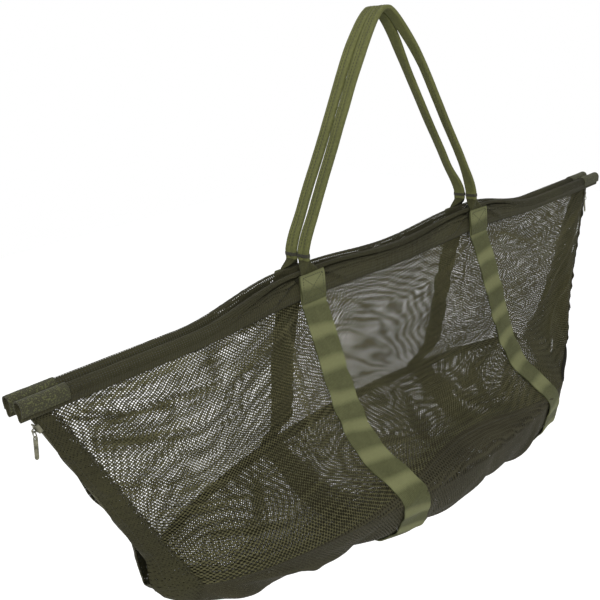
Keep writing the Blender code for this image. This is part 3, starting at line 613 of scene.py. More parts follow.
# %% woven finishes
def webbing(name, dark, light, painted_bands=0.0):
    """Sets how strongly painted bands of light and shade cross the strap, in place of slow waves
    catching light.
    """
    finish = Finish(name, 0.80, sheen=0.02)
    weave = finish.times(finish.plus(finish.wave(0.0019, "X"), finish.wave(0.0011, "Y")), 0.5)
    finish.bump(weave, 0.00022)
    worn = finish.plus(finish.noise(34.0, 3.0), finish.times(weave, 0.10))
    share = finish.times(weave, finish.span(worn, 0.38, 0.70, 0.55, 1.1))
    if painted_bands:
        # Painted light and shade: slow bands along the strap lighten and darken its colour, in place of
        # waves that catch the light.
        painted_band_wave = finish.wave(0.043, "Y", rough=(4.0, 2.0, 0.8))
        raised = finish.times(finish.span(painted_band_wave, 0.40, 0.95), painted_bands)
        share = finish.plus(finish.times(share, 0.55), raised)
    finish.dye_with_painted_shade(share, dark, light, 0.80 if painted_bands else 0.30)
    return finish.material


def close_knit(name, dark, light, pitch):
    finish = Finish(name, 0.82, sheen=0.03)
    rows = finish.wave(pitch * 0.8, "Y")
    weave = finish.times(finish.wave(pitch, "X"), finish.span(rows, 0.0, 1.0, 0.55, 1.0))
    finish.bump(weave, 0.00020)
    finish.dye_with_painted_shade(weave, dark, light)
    return finish.material


def hem_cloth(name, dark, light, pitch=0.0030):
    """A close knit with upright ribs. Along its top fold it is a single open layer, and light comes
    through."""
    finish = Finish(name, 0.84, sheen=0.03)
    there = finish.uneven_cut(40.0, 1.0, 0.0035)
    ribs, rows = finish.wave(pitch, "X", there), finish.wave(pitch * 0.8, "Y", there)
    weave = finish.times(ribs, finish.span(rows, 0.0, 1.0, 0.45, 1.0))
    round_it = finish.get("SeparateXYZ", "Y", {0: finish.cut()})
    from_top = finish.math("MODULO", finish.plus(round_it, HEM_ROUND / 2 - HEM_FOLD_AT), HEM_ROUND)
    from_top = finish.math("ABSOLUTE", finish.less(from_top, HEM_ROUND / 2))
    holes = finish.span(finish.times(ribs, rows), 0.34, 0.44)
    open_here = finish.span(from_top, 0.0115, 0.0145, 1.0, 0.0)
    finish.set("Alpha", finish.less(1.0, finish.times(holes, open_here)))
    finish.bump(weave, 0.00035)
    finish.dye_with_painted_shade(weave, dark, light, 0.45)
    return finish.material


def specked_cloth(name, dark, light, speck):
    finish = Finish(name, 0.85, sheen=0.03)
    weave = finish.times(finish.wave(0.0014, "X"), finish.wave(0.0016, "Y"))
    specks = finish.times(finish.span(finish.noise(620.0, 0.0), 0.56, 0.66), 0.45)
    # The weave's heights paint light and shade into the cloth's colour.
    body = finish.blend(weave, tone(dark), tone(light))
    finish.set("Base Color", finish.blend(specks, body, tone(speck)))
    finish.bump(weave, 0.0003)
    return finish.material


def grained(name, dark, light, roughness=0.75, grain=1400.0, detail=1.0, depth=0.0001, sheen=0.05):
    """A plain finish with a fine grain. As it stands it is thread."""
    finish = Finish(name, roughness, sheen=sheen)
    fine = finish.noise(grain, detail)
    finish.color(fine, dark, light)
    finish.bump(fine, depth)
    return finish.material


HEM_ROUND, HEM_FOLD_AT = 0.060, 0.009  # the cloth round a hem, and where its top fold lies on it
# The straps' webbing also carries painted bands of light and shade.
olive_webbing = webbing("olive_webbing_cloth", "383a21", "80825a", painted_bands=0.75)
folded_webbing = webbing("folded_webbing_cloth", "505330", "777948")
# A darker copy of the webbing for the necks, as painted shade for the shadow round them.
painted_shade_webbing = webbing("painted_shade_webbing_cloth", "2c2b19", "4c4c2e")
dense_hem = hem_cloth("dense_hem_cloth", "2a281a", "49472f")
band_cloth = knit("band_cloth", 0.080, 0.14, "222013", "413f29", open_edge=0.15)
seam_tape = close_knit("seam_tape_cloth", "1b1a11", "302e1e", 0.0012)
patch_cloth = specked_cloth("patch_cloth_specked", "2a2918", "454426", "6c6f42")
zip_cloth = close_knit("zip_tape_cloth", "343222", "55533a", 0.0010)
coil_plastic = grained("zip_coil_plastic", "5f5d45", "84826a")
dark_thread = grained("dark_thread_fibre", "1d1b12", "3a3825")
olive_thread = grained("olive_thread_fibre", "35361d", "4d5030")
print("woven finishes ready")

# %% [markdown]
# ### Metal, tube and rubber
# The zip's metal has a dull plating that is rubbed a little brighter in places. The bars and their
# plugs stay inside the hems, and show only at the open ends.

# %% hard finishes
def plated(name, dark, light):
    finish = Finish(name, 0.38, metallic=0.9)
    worn = finish.noise(160.0, 3.0)
    finish.color(finish.span(worn, 0.35, 0.65), dark, light)
    finish.set("Roughness", finish.span(worn, 0.3, 0.7, 0.30, 0.50))
    finish.bump(finish.noise(900.0), 0.00003)
    return finish.material


gunmetal = plated("gunmetal_plating", "4f4e40", "85836f")
grey_tube = grained("grey_tube_skin", "3c3c3a", "565652", 0.45, 300.0, 2.0, 0.00008, 0.0)
black_rubber = grained("black_rubber_skin", "17171a", "2b2b28", 0.75, 700.0, 2.0, 0.00008, 0.0)
for node_name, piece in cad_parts.items():
    if node_name.startswith("bar_"):
        for slot in piece.material_slots:
            slot.material = black_rubber if "cap" in node_name else grey_tube
print("bars and plugs keep their CAD shapes")

# %% [markdown]
# ## The walls
# Each wall hangs from its hem to the base seam, and leans in towards the zips at both ends. It is cut
# as one trapezium of open mesh, so it is made from one grid.

# %% walls
HALVES = (("front", -1), ("rear", 1))
ENDS = (("left", -1), ("right", 1))
QUARTERS = [(half, side, half + "_" + word, end) for half, side in HALVES for word, end in ENDS]
BAND_SHOWN = 0.020  # the part of an end band that is dense
WALL_TUCK = 0.006  # how far a wall's end runs on under it
ROW_BOW = 0.045  # how far the rows of the knit rise towards the straps and the ends


def column_x(s, down, margin=0.0):
    """A column's x: s runs from -1 to 1, and beyond the upright part it leans with the zip."""
    top_end = TOP_HALF_LENGTH - END_BAND
    start = LEAN_START / top_end
    share = abs(s)
    if share <= start:
        return s * top_end
    end = half_length(min(down, 1)) - END_BAND + margin
    return math.copysign(LEAN_START + (end - LEAN_START) * (share - start) / (1 - start), s)


def outward_of(side):
    return lambda at: Vector((0, side, 0))


def column(s, t):
    return column_x(2 * s - 1, t)


for half, side in HALVES:
    wall = cloth(
        "wall_mesh_" + half, 330, 108,
        lambda s, t: skin(column_x(2 * s - 1, t, END_BAND - BAND_SHOWN + WALL_TUCK), t, side),
        lambda s, t: (column(s, t), t * WALL_FALL + ROW_BOW * bow(column(s, t))),
        0.0005, outward_of(side),
        creased=lambda s, t: gathered(-side * column(s, t), wall_yz(column(s, t), t)[1]),
    )
    dress(wall, half + "_half", open_mesh, "olive_mesh", "wall_" + half)
print("walls:", len(wall.data.polygons), "faces each")

# %% [markdown]
# ## The base
# The base is one boat-shaped sheet that runs from the front seam under the keel to the rear seam. In
# the model the rear half turns about a line under the keel.

# %% base
BASE_END = 0.4200


def base_at(s, t):
    """x, the share of the way in to the keel, and the half."""
    across = 2 * t - 1
    return BASE_END * (2 * s - 1), 1 - abs(across), -1 if across < 0 else 1


def base_place(s, t):
    x, inward, side = base_at(s, t)
    return skin(x, 1 + inward, side)


def base_crease(s, t):
    x, inward, side = base_at(s, t)
    return gathered(-side * x, inward * BASE_FALL, BASE_CREASES, BASE_FALL) * smooth(0, 0.1, inward)


base = cloth(
    "base_sheet", 260, 140, base_place,
    lambda s, t: (BASE_END * (2 * s - 1), (2 * t - 1) * BASE_FALL),
    0.0008, lambda at: Vector((0, 0, -1)), creased=base_crease,
)
dress(base, None, base_mesh, "olive_mesh", "base_front", "base_rear")
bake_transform(base)
print("base:", len(base.data.polygons), "faces")

# %% [markdown]
# ## Stitches
# A seam reads as a seam because of its thread. One stitch is a small bead, stretched along the seam
# and half sunk in the cloth. It is made once and then copied along a line of points and normals.

# %% stitches
def sew(name, body, fibre, lines, step=0.0034, length=0.0024, radius=0.00032):
    """Rows of stitches along lines of points and normals."""
    bead = made(bpy.ops.mesh.primitive_uv_sphere_add, segments=6, ring_count=4, radius=1)
    bead_points = [v.co.copy() for v in bead.data.vertices]
    bead_faces = [tuple(p.vertices) for p in bead.data.polygons]
    bpy.data.objects.remove(bead, do_unlink=True)
    points, faces = [], []
    for line in lines:
        lengths = [(b[0] - a[0]).length for a, b in zip(line, line[1:])]
        count = max(int(sum(lengths) / step), 1)
        for k in range(count):
            target, i = (k + 0.5) * sum(lengths) / count, 0
            while i < len(lengths) - 1 and target > lengths[i]:
                target -= lengths[i]
                i += 1
            share = target / max(lengths[i], 1e-9)
            along = (line[i + 1][0] - line[i][0]).normalized()
            normal = line[i][1].lerp(line[i + 1][1], share).normalized()
            side_way = along.cross(normal).normalized()
            middle = line[i][0].lerp(line[i + 1][0], share)
            faces += [tuple(len(points) + j for j in face) for face in bead_faces]
            points += [
                middle + along * (p.z * length / 2) + side_way * (p.x * radius) + normal * (p.y * radius)
                for p in bead_points
            ]
    mesh = bpy.data.meshes.new(name)
    mesh.from_pydata(points, [], faces)
    mesh.uv_layers.new(name="cut")
    seam = bpy.data.objects.new(name, mesh)
    bpy.context.scene.collection.objects.link(seam)
    in_edit_mode(seam, face_outwards)
    bpy.ops.object.shade_smooth()
    dress(seam, body, fibre, "dark_thread")


def skin_seam(half_span, t, side, offset, count=160):
    """Points and normals along the skin, as far as half_span to either side."""
    line = []
    for i in range(count + 1):
        x = half_span * (2 * i / count - 1)
        here = skin(x, t, side, offset)
        line.append((here, (skin(x, t, side, offset + 0.001) - here).normalized()))
    return line


print("stitches ready")

# %% [markdown]
# ## The hems
# A hem is a long loop of close cloth round a bar. Between the straps it hangs under the bar and is
# pinched at its lower seam. At a strap it is drawn up well above the bar, and its two layers lie
# close together there.

# %% hems
PLEAT_REACH, PLEAT_FALL, PLEAT_HEIGHT = 0.040, 0.020, 0.0042


def pleat(x, z):
    """The tuck beside each strap: a ridge that runs down and away from it, with a hollow under it."""
    away = abs(abs(x) - STRAP_X) - STRAP_WIDTH / 2
    if not -0.004 < away < PLEAT_REACH * 1.4:
        return 0.0
    ridge = hem_top(STRAP_X) + 0.002 - PLEAT_FALL * (away + 0.002) / PLEAT_REACH
    up = z - ridge
    fade = between(-0.004, 0.003, PLEAT_REACH * 0.7, PLEAT_REACH * 1.4, away)
    return PLEAT_HEIGHT * fade * (hump(up, 0.0030) - 0.5 * hump(up + 0.0055, 0.0030))


def hem_point(x, s, side, out=0.0):
    """A point of the hem's outer face. s runs round it: over the top, down inside, up outside."""
    raised = lift(x)
    half_top = (HEM_HALF - 0.0028 * smooth(0.35, 1.0, raised)) + out
    half_low = HEM_HALF * (1 - 0.45 * (1 - raised)) + out
    top, low = hem_top(x), hem_bottom(x) - (HEM_HALF - (half_low - out))
    if s < 0.3:
        angle = math.pi * s / 0.3
        y, z = half_top * math.cos(angle), top + (HEM_HALF - half_top + out) + half_top * math.sin(angle)
    elif s < 0.5:
        share = (s - 0.3) / 0.2
        y, z = -(half_top + (half_low - half_top) * smooth(0.3, 0.9, share)), top + (low - top) * share
    elif s < 0.8:
        angle = math.pi + math.pi * (s - 0.5) / 0.3
        y, z = half_low * math.cos(angle), low + half_low * math.sin(angle)
    else:
        share = (s - 0.8) / 0.2
        y, z = half_low + (half_top - half_low) * smooth(0.1, 0.7, share), low + (top - low) * share
    slope = 4 * raised * (1 - raised)
    fine = noise.noise(Vector((x * 40, z * 60, side)))
    gather = 0.0009 * slope * math.sin(x * 520 + 40 * z) + 0.0005 * fine
    y += math.copysign(max(gather, -0.0002), y) if abs(y) > 0.001 else 0
    if s > 0.78 or s < 0.06:
        y += pleat(x, z) * (1 if s > 0.82 or s < 0.03 else 0.5)
    return Vector((x, side * (BAR_Y + y), z))


for half, side in HALVES:
    hem = cloth(
        "hem_" + half, 44, 260,
        lambda s, t: hem_point((t - 0.5) * HEM_LENGTH, s, side),
        lambda s, t: ((t - 0.5) * HEM_LENGTH, s * HEM_ROUND),
        0.0009, lambda at: Vector((0, at.y - side * BAR_Y, at.z - BAR_Z)), closed=True,
    )
    dress(hem, half + "_half", dense_hem, "dense_hem", "sleeve_" + half)
print("hems:", [round(v, 4) for v in hem.dimensions], "each")

# %% [markdown]
# ### The patches at the ends of the hems
# The last five centimetres of each hem wear a doubled piece of coarser cloth, folded over the top and
# sewn along its edges.

# %% patches
PATCH_LENGTH, PATCH_FABRIC = 0.050, 0.0008


def patch_point(end, s, t, side, extra=0.0):
    x = end * (HEM_LENGTH / 2 - PATCH_LENGTH * (1 - t))
    half = HEM_HALF + LAYER_GAP + PATCH_FABRIC + extra
    top, low = hem_top(x), hem_bottom(x)
    if s < 0.25:
        y, z = half * (1 - 0.12 * (1 - s / 0.25)), low + (top - low) * s / 0.25
    elif s < 0.75:
        angle = math.pi * (s - 0.25) / 0.5
        y, z = half * math.cos(angle), top + half * math.sin(angle)
    else:
        y, z = -half * (1 - 0.12 * (s - 0.75) / 0.25), top + (low - top) * (s - 0.75) / 0.25
    z += 0.0004 * noise.noise(Vector((x * 90, s * 5, side)))
    return Vector((x, side * (BAR_Y + y), z))


for half, side, corner, end in QUARTERS:
    patch = cloth(
        "patch_" + corner, 36, 24,
        lambda s, t: patch_point(end, s, t, side),
        lambda s, t: (s * 0.040, t * PATCH_LENGTH),
        PATCH_FABRIC, lambda at: Vector((0, 0, 1)),
    )
    dress(patch, half + "_half", patch_cloth, "patch_cloth", "sleeve_end_" + corner)
    turns = [(s / 30, Vector((0, side * math.cos(math.pi * s / 30), 0.6))) for s in range(2, 29)]
    edges = [[(patch_point(end, s, at, side, 0.0001), way) for s, way in turns] for at in (0.06, 0.94)]
    sew("patch_seam_" + corner, half + "_half", olive_thread, edges, 0.0028, 0.0019, 0.00025)
print("patches: 4, each with two sewn edges")

# %% [markdown]
# ## The end bands
# A wide doubled band of close cloth runs down each end of each half, beside the zip, and turns in
# under the tip of the base. It puckers a little along its seams.

# %% end bands
FLAP_OUT, FLAP_LOW = 0.0046, 0.0165  # how far a band's edge stands past the zip, and low down


def band_place(end, side, s, t):
    down = t * 1.25 if t < 0.8 else 1 + (t - 0.8) / 0.2
    at = min(down, 1)
    loose = smooth(0.10, 0.22, at)
    waves = 0.5 + 0.5 * math.sin(at * 23 + 1.7 * side + end) * math.cos(at * 9 + end)
    flap = (FLAP_OUT * waves + FLAP_LOW * smooth(0.78, 1.0, at) * smooth(1.7, 1.1, down)) * loose * s * s
    low = smooth(0.70, 0.80, at)
    if end < 0:
        aside = 0.0060 * flap / (FLAP_OUT + FLAP_LOW)
    else:
        flap *= 0.25
        aside = (0.0016 * low - 0.0008 * (1 - low) * loose) * s * s
    x = half_length(at) - BAND_SHOWN * (1 - s)
    uneven = noise.noise(Vector((at * 16, s * 2.5, side * 3 + end)))
    pucker = 0.0012 * math.sin(at * 95 + 2 * side) * (1 - s) + 0.0042 * uneven * loose
    inner = 0.0022 * noise.noise(Vector((at * 19, side, end))) * (1 - s)
    here = skin(end * (x + inner), down, side, 0.0009 + max(pucker, -0.0002), False)
    here.x += end * flap
    here.y += side * aside
    return here


for half, side, corner, end in QUARTERS:
    band = cloth(
        "end_band_cloth_" + corner, 14, 130,
        lambda s, t: band_place(end, side, s, t),
        lambda s, t: (s * END_BAND, t * (WALL_FALL + 0.05)),
        0.0011, lambda at: Vector((end * 0.2, side, -0.1)),
    )
    dress(band, half + "_half", band_cloth, "dense_hem", "end_band_" + corner)
    way = Vector((end * 0.15, side, 0)).normalized()
    rows = [
        [(band_place(end, side, s, 0.01 + 0.78 * i / 80), way) for i in range(81)] for s in (0.12, 0.80)
    ]
    sew("band_seam_" + corner, half + "_half", dark_thread, rows)
print("bands: 4, each with two rows of stitches")

# %% [markdown]
# ## The base seam
# Inside the bag a tape is folded round the seam allowance. It shows through the mesh as a dark line.

# %% base seam
SEAM_TAPE = 0.009

for half, side in HALVES:
    def tape_place(s, t):
        x = (BASE_HALF_LENGTH - END_BAND - 0.002) * (2 * s - 1)
        reach = (2 * t - 1) * SEAM_TAPE
        at = 1 + reach / (WALL_FALL if reach < 0 else BASE_FALL)
        round_it = 0.0010 * math.cos(math.pi * (t - 0.5))
        return skin(x, at, side, -0.0018 - 0.0012 + round_it)

    tape = cloth(
        "base_seam_tape_" + half, 160, 8, tape_place,
        lambda s, t: (0.8 * s, SEAM_TAPE * 2 * t),
        0.0010, outward_of(side),
    )
    body = half + "_half"
    dress(tape, body, seam_tape, "dense_hem", "base_binding_" + half)
    rows = [skin_seam(BASE_HALF_LENGTH - END_BAND, at, side, 0.0002) for at in (0.988, 1.018)]
    sew("base_seam_thread_" + half, body, dark_thread, rows, 0.0036, 0.0026, 0.00034)
    reach = TOP_HALF_LENGTH - END_BAND
    row = [hem_point(reach * (2 * i / 160 - 1), 0.83, side, 0.0001) for i in range(161)]
    row = [(here, Vector((0, side, 0))) for here in row]
    sew("hem_seam_thread_" + half, body, dark_thread, [row], 0.0036, 0.0026)
print("base seams ready")

# %% [markdown]
# ## The straps
# A strap is one length of webbing that runs from its folded top in front, down the wall, under the
# bag and up the back. Its top is folded over to the outside and sewn down with a box and a cross. The
# webbing is stiff, so it lies on the mesh in slow waves.

# %% straps
STRAP_INNER_Y, STRAP_THICKNESS = 0.0195, 0.0014
STRAP_TOP_Z = BAR_Z + 0.0275
STRAP_TUCK = 0.20  # how far down the wall, as a share, its fold hides it
STRAP_DRIFT = 0.022
STRAP_COLUMNS, STRAP_ROWS, STRAP_POINTS = 8, 150, 400
FOLD = 0.036
KEEL_HALF = 0.0125


def across_strap(end, s):
    return end * (STRAP_X + STRAP_WIDTH * (s - 0.5))


def drift(t):
    """Low on the bag each strap leaves its straight line, to the right."""
    return STRAP_DRIFT * smooth(0.65, 1.35, t)


def strap_line(x, side, to_keel):
    """A strap's line at x, from its fold's end to the keel: out from the middle, up, and its drift."""
    middle = STRAP_INNER_Y + STRAP_THICKNESS / 2
    layer = STRAP_THICKNESS + LAYER_GAP
    bend, straight = STRAP_TOP_Z - layer / 2, FOLD - layer / 2
    points = [
        (middle + layer + 0.0003 * math.sin(math.pi * k / 8), bend - straight * (1 - k / 8))
        for k in range(9)
    ]
    for k in range(1, 5):
        angle = math.pi * k / 5
        points.append((middle + layer / 2 * (1 + math.cos(angle)), bend + layer / 2 * math.sin(angle)))
    points += [(middle, bend - straight * k / 4) for k in range(5)]
    points = [Vector((out, up, 0)) for out, up in points]
    for k in range(80):
        t = STRAP_TUCK + (2 - STRAP_TUCK) * k / 79
        wave = 0.0012 * (1 + math.sin(t * 37 + 6 * x + side))
        wave += 0.0004 * (1 + math.sin(t * 71 + 14 * x + side))
        wave *= between(STRAP_TUCK, STRAP_TUCK + 0.1, 1.5, 1.8, t)
        here = skin(x + drift(t), t, side, 0.0012 + wave)
        points.append(Vector((abs(here.y), here.z, here.x - x)))
    kept = [p for i, p in enumerate(points) if i < 30 or p.x >= to_keel]
    if len(kept) < len(points):
        last, after = kept[-1], points[len(kept)]
        kept.append(last.lerp(after, (last.x - to_keel) / (last.x - after.x)))
    return kept


def resample(points, count):
    lengths = [0.0]
    for a, b in zip(points, points[1:]):
        lengths.append(lengths[-1] + (b - a).length)
    out, i = [], 0
    for k in range(count + 1):
        target = lengths[-1] * k / count
        while i < len(points) - 2 and lengths[i + 1] < target:
            i += 1
        share = (target - lengths[i]) / max(lengths[i + 1] - lengths[i], 1e-9)
        out.append(points[i].lerp(points[i + 1], share))
    return out, lengths[-1]


def eased(points, rounds):
    """Rounds the corners of a line, but not its fold."""
    for _ in range(rounds):
        points = [points[0]] + [
            b if b.y > STRAP_TOP_Z - 0.03 else (a + b * 2 + c) / 4
            for a, b, c in zip(points, points[1:], points[2:])
        ] + [points[-1]]
    return points


strap_lengths = []
for half, side, corner, end in QUARTERS:
    lines = []
    for c in range(STRAP_COLUMNS + 1):
        line = strap_line(across_strap(end, c / STRAP_COLUMNS), side, KEEL_HALF)
        dense, _ = resample(line, STRAP_POINTS)
        line, length = resample(eased(dense, 6), STRAP_ROWS)
        lines.append(line)
    strap_lengths.append(length)

    def strap_place(s, t):
        c = round(s * STRAP_COLUMNS)
        out, up, aside = lines[c][round(t * STRAP_ROWS)]
        return Vector((across_strap(end, c / STRAP_COLUMNS) + aside, side * out, up))

    strap = cloth(
        "strap_webbing_" + corner, STRAP_COLUMNS, STRAP_ROWS, strap_place,
        lambda s, t: (s * STRAP_WIDTH, t * length),
        STRAP_THICKNESS, lambda at: Vector((0, side, -1)), offset=0,
    )
    dress(strap, half + "_half", olive_webbing, "olive_webbing", "strap_" + corner)
print("straps:", [round(v, 3) for v in strap_lengths], "m from fold to keel")

# %% [markdown]
# ### Under the keel
# The middle of each strap, under the keel, is a short piece of the same webbing between the two
# halves.

# %% strap middles
for word, end in ENDS:
    def middle_place(s, t):
        x = across_strap(end, s) + drift(2)
        across = KEEL_HALF * (2 * t - 1)
        y_seam = wall_yz(x, 1)[0]
        at = skin(x, 2 - abs(across) / y_seam, -1 if across < 0 else 1, 0.0012)
        return Vector((at.x, across, at.z))

    middle = cloth(
        "strap_middle_" + word, STRAP_COLUMNS, 16, middle_place,
        lambda s, t: (s * STRAP_WIDTH, (t - 0.5) * 2 * KEEL_HALF),
        STRAP_THICKNESS, lambda at: Vector((0, 0, -1)), offset=0,
    )
    dress(middle, None, olive_webbing, "olive_webbing")
    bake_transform(middle)

# %% [markdown]
# ### Sewing on the straps
# The folded top is sewn with a box and a cross, and with one more line close to the fold's lower end.

# %% strap stitches
def fold_point(end, side, across, up):
    """A point on the outer face of a strap's folded top, in metres from its lower middle."""
    out = STRAP_INNER_Y + 2 * STRAP_THICKNESS + 0.0005
    return Vector((end * (STRAP_X + across), side * out, STRAP_TOP_Z - FOLD + up))


BOX_HALF, BOX_LOW, BOX_HIGH = 0.0165, 0.006, 0.0325
CORNERS = [(-BOX_HALF, BOX_LOW), (BOX_HALF, BOX_LOW), (BOX_HALF, BOX_HIGH), (-BOX_HALF, BOX_HIGH)]
RUNS = list(zip(CORNERS, CORNERS[1:] + CORNERS[:1])) + [
    (CORNERS[0], CORNERS[2]), (CORNERS[1], CORNERS[3]), ((-0.018, 0.0022), (0.018, 0.0022)),
]
for half, side, corner, end in QUARTERS:
    rows = [[(fold_point(end, side, *at), Vector((0, side, 0))) for at in run] for run in RUNS]
    sew("strap_thread_" + corner, half + "_half", olive_thread, rows, 0.0030, 0.0027, 0.00050)
print("strap stitches ready")

# %% [markdown]
# ## The handles
# Each handle is webbing folded along its length, so that its two edges meet in a groove down the
# outer face, with a row of stitches on each side. The section below is drawn once, in millimetres,
# and follows the arch from one neck over the hang point to the other.

# %% handles
HANDLE_Y, NECK_Z = 0.01025, BAR_Z + 0.040
HANDLE_SECTION = (
    # across and out from the middle surface, in millimetres
    (-8.5, 0.4), (-8.35, 1.5), (-7.7, 2.3), (-6.4, 2.7), (-4.4, 2.72), (-2.4, 2.5), (-0.9, 2.1),
    (-0.3, 1.2), (0.3, 1.2), (0.9, 2.1), (2.4, 2.5), (4.4, 2.72), (6.4, 2.7), (7.7, 2.3), (8.35, 1.5),
    (8.5, 0.4), (8.45, -1.3), (8.0, -2.2), (7.0, -2.65), (4.0, -2.75), (0.0, -2.6), (-4.0, -2.75),
    (-7.0, -2.65), (-8.0, -2.2), (-8.45, -1.3),
)
HANDLE_PATH = (
    # share of the way out from the middle, share of the way up from the straight neck
    (1.000, 0.000), (0.960, 0.062), (0.875, 0.155), (0.785, 0.260), (0.655, 0.400),
    (0.540, 0.530), (0.430, 0.655), (0.335, 0.760), (0.240, 0.855), (0.150, 0.932), (0.085, 0.975),
)
HANDLE_TWIST_DEG = 20  # the right-hand legs stand a little edge on
HANDLE_SPREAD = 0.0042  # and a little further apart
HANDLE_WIDER, HANDLE_SWAY, HANDLE_RISE = 1.03, 0.0015, 0.0060
HANDLE_HALF_THICK, HANDLE_ROWS = 0.00275, 260


def rounded(points, steps):
    """A Catmull-Rom line through points."""
    out = []
    for i in range(len(points) - 1):
        a, b = points[max(i - 1, 0)], points[i]
        c, d = points[i + 1], points[min(i + 2, len(points) - 1)]
        for k in range(steps):
            t = k / steps
            square, cube = 2 * a - 5 * b + 4 * c - d, 3 * b - a - 3 * c + d
            out.append(0.5 * (2 * b + (c - a) * t + square * t**2 + cube * t**3))
    return out + [points[-1]]


def handle_line():
    top, start = HANDLE_HALF_THICK, NECK_Z + 0.011
    right = [Vector((STRAP_X * out, start + (top - start) * up)) for out, up in HANDLE_PATH]
    right = [Vector((STRAP_X, NECK_Z))] + rounded(right + [Vector((0.005, top))], 8)
    both = [Vector((-p.x, p.y)) for p in right] + [Vector((0, top))] + list(reversed(right))
    for _ in range(2):
        middle = [(a + b * 2 + c) / 4 for a, b, c in zip(both[1:], both[2:], both[3:])]
        both = both[:2] + middle + both[-1:]
    return resample(both, HANDLE_ROWS)


handle_points, handle_length = handle_line()
section_shares = [0.0]
for a, b in zip(HANDLE_SECTION, HANDLE_SECTION[1:] + HANDLE_SECTION[:1]):
    section_shares.append(section_shares[-1] + math.dist(a, b) / 1000)


def handle_frame(t):
    """A point of the handle's middle surface, and its outward normal, in the plane of X and Z."""
    at = min(max(t, 0), 1) * HANDLE_ROWS
    i = min(int(at), HANDLE_ROWS - 1)
    a, b = handle_points[max(i - 1, 0)], handle_points[min(i + 2, HANDLE_ROWS)]
    way = (b - a).normalized()
    return handle_points[i].lerp(handle_points[i + 1], at - i), Vector((-way.y, way.x))


def handle_point(t, side, across, out):
    """A point of a handle, from its place across and out from the middle surface, in metres."""
    middle, normal = handle_frame(t)
    held, apex = smooth(0.0, 0.06, min(t, 1 - t)), smooth(0.13, 0.02, abs(t - 0.5))
    right, left = between(0.54, 0.68, 0.90, 0.99, t), between(0.01, 0.10, 0.32, 0.46, t)
    turn = math.radians(HANDLE_TWIST_DEG) * (right - 0.4 * left)
    across *= 1 + (HANDLE_WIDER - 1) * held * (1 - apex) - 0.07 * apex
    aside = across * math.cos(turn) - out * math.sin(turn)
    here = middle + normal * (across * math.sin(turn) + out * math.cos(turn))
    nearer = 0.0020 * apex + 0.0008 * left * smooth(0.10, 0.25, t) - HANDLE_SPREAD * right
    over = smooth(0.0, 1.0, 1 - abs(2 * t - 1))
    y = side * (HANDLE_Y - nearer) + aside
    return Vector((here.x + HANDLE_SWAY * over, y, here.y + HANDLE_RISE * over))


def handle_place(s, t, side):
    corner = round(s * len(HANDLE_SECTION)) % len(HANDLE_SECTION)
    across, out = HANDLE_SECTION[corner]
    across = (across + 0.18 * noise.noise(Vector((t * 26, side * 3, 1.0)))) / 1000
    out = (out + 0.10 * noise.noise(Vector((t * 60, across * 300, side)))) / 1000
    return handle_point(t, side, across, min(out, HANDLE_HALF_THICK))


def handle_stitch(t, side, across):
    here = handle_point(t, side, across, 0.00262)
    return here, (handle_point(t, side, across, 0.00362) - here).normalized()


for half, side in HALVES:
    handle = tube(
        "handle_webbing_" + half, len(HANDLE_SECTION), HANDLE_ROWS,
        lambda s, t: handle_place(s, t, side),
        lambda s, t: (section_shares[round(s * len(HANDLE_SECTION))], t * handle_length),
    )
    dress(handle, "handle_" + half, folded_webbing, "olive_webbing", "handle_" + half)
    rows = [[handle_stitch(0.022 + 0.956 * i / 200, side, across) for i in range(201)]
            for across in (-0.0027, 0.0027)]
    sew("handle_thread_" + half, "handle_" + half, dark_thread, rows, 0.0040, 0.0029, 0.00042)
print("handles:", round(handle_length, 3), "m of folded webbing each")

# %% [markdown]
# ### The necks
# Just above the strap the folded webbing is held shut by a band of thread. Under it the webbing opens
# out again and goes down flat behind the strap's folded top.

# %% necks
NECK_ROWS = (
    # height, inner y, outer y, half width, roundness of the section, depth of the crease down it
    (-0.2647, 0.00175, 0.01875, 0.00275, 1.0, 0.0),
    (-0.2675, 0.00330, 0.01880, 0.00430, 0.9, 0.0010),
    (-0.2700, 0.00560, 0.01900, 0.00680, 0.8, 0.0018),
    (-0.2725, 0.00900, 0.01920, 0.00950, 0.6, 0.0020),
    (-0.2752, 0.01350, 0.01920, 0.01210, 0.4, 0.0012),
    (-0.2790, 0.01640, 0.01920, 0.01420, 0.2, 0.0005),
    (-0.2850, 0.01775, 0.01920, 0.01580, 0.1, 0.0),
    (-0.2950, 0.01780, 0.01920, 0.01680, 0.1, 0.0),
    (-0.3110, 0.01780, 0.01920, 0.01700, 0.1, 0.0),
)


def neck_ring(row, s, end, side):
    """A point of a neck's rounded section: s runs round it."""
    z, near, far, half, roundness, crease = row
    angle = 2 * math.pi * s
    power = 0.25 + 0.35 * roundness
    c, d = math.cos(angle), math.sin(angle)
    x = half * math.copysign(abs(c) ** power, c)
    y = (near + far) / 2 + (far - near) / 2 * math.copysign(abs(d) ** power, d)
    y -= crease * hump(x, max(half * 0.35, 0.001)) * (1 if d > 0 else 0.4)
    z += 0.0012 * roundness * math.sin(3 * angle) * (1 if z < -0.2655 else 0)
    return Vector((end * STRAP_X + x, side * y, z))


def between_rows(rows, t):
    at = t * (len(rows) - 1)
    i = min(int(at), len(rows) - 2)
    return [a + (b - a) * (at - i) for a, b in zip(rows[i], rows[i + 1])]


for half, side, corner, end in QUARTERS:
    neck = tube(
        "neck_webbing_" + corner, 40, 40,
        lambda s, t: neck_ring(between_rows(NECK_ROWS, t), s, end, side),
        lambda s, t: (s * 0.040, t * 0.046),
    )
    # The necks take the darker webbing copy, which is painted shade.
    dress(neck, None, painted_shade_webbing, "olive_webbing", "handle_root_" + corner)
    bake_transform(neck)

# %% [markdown]
# ### The thread bands
# The band is the same thread laid round and round, so it is a stack of thin rings.

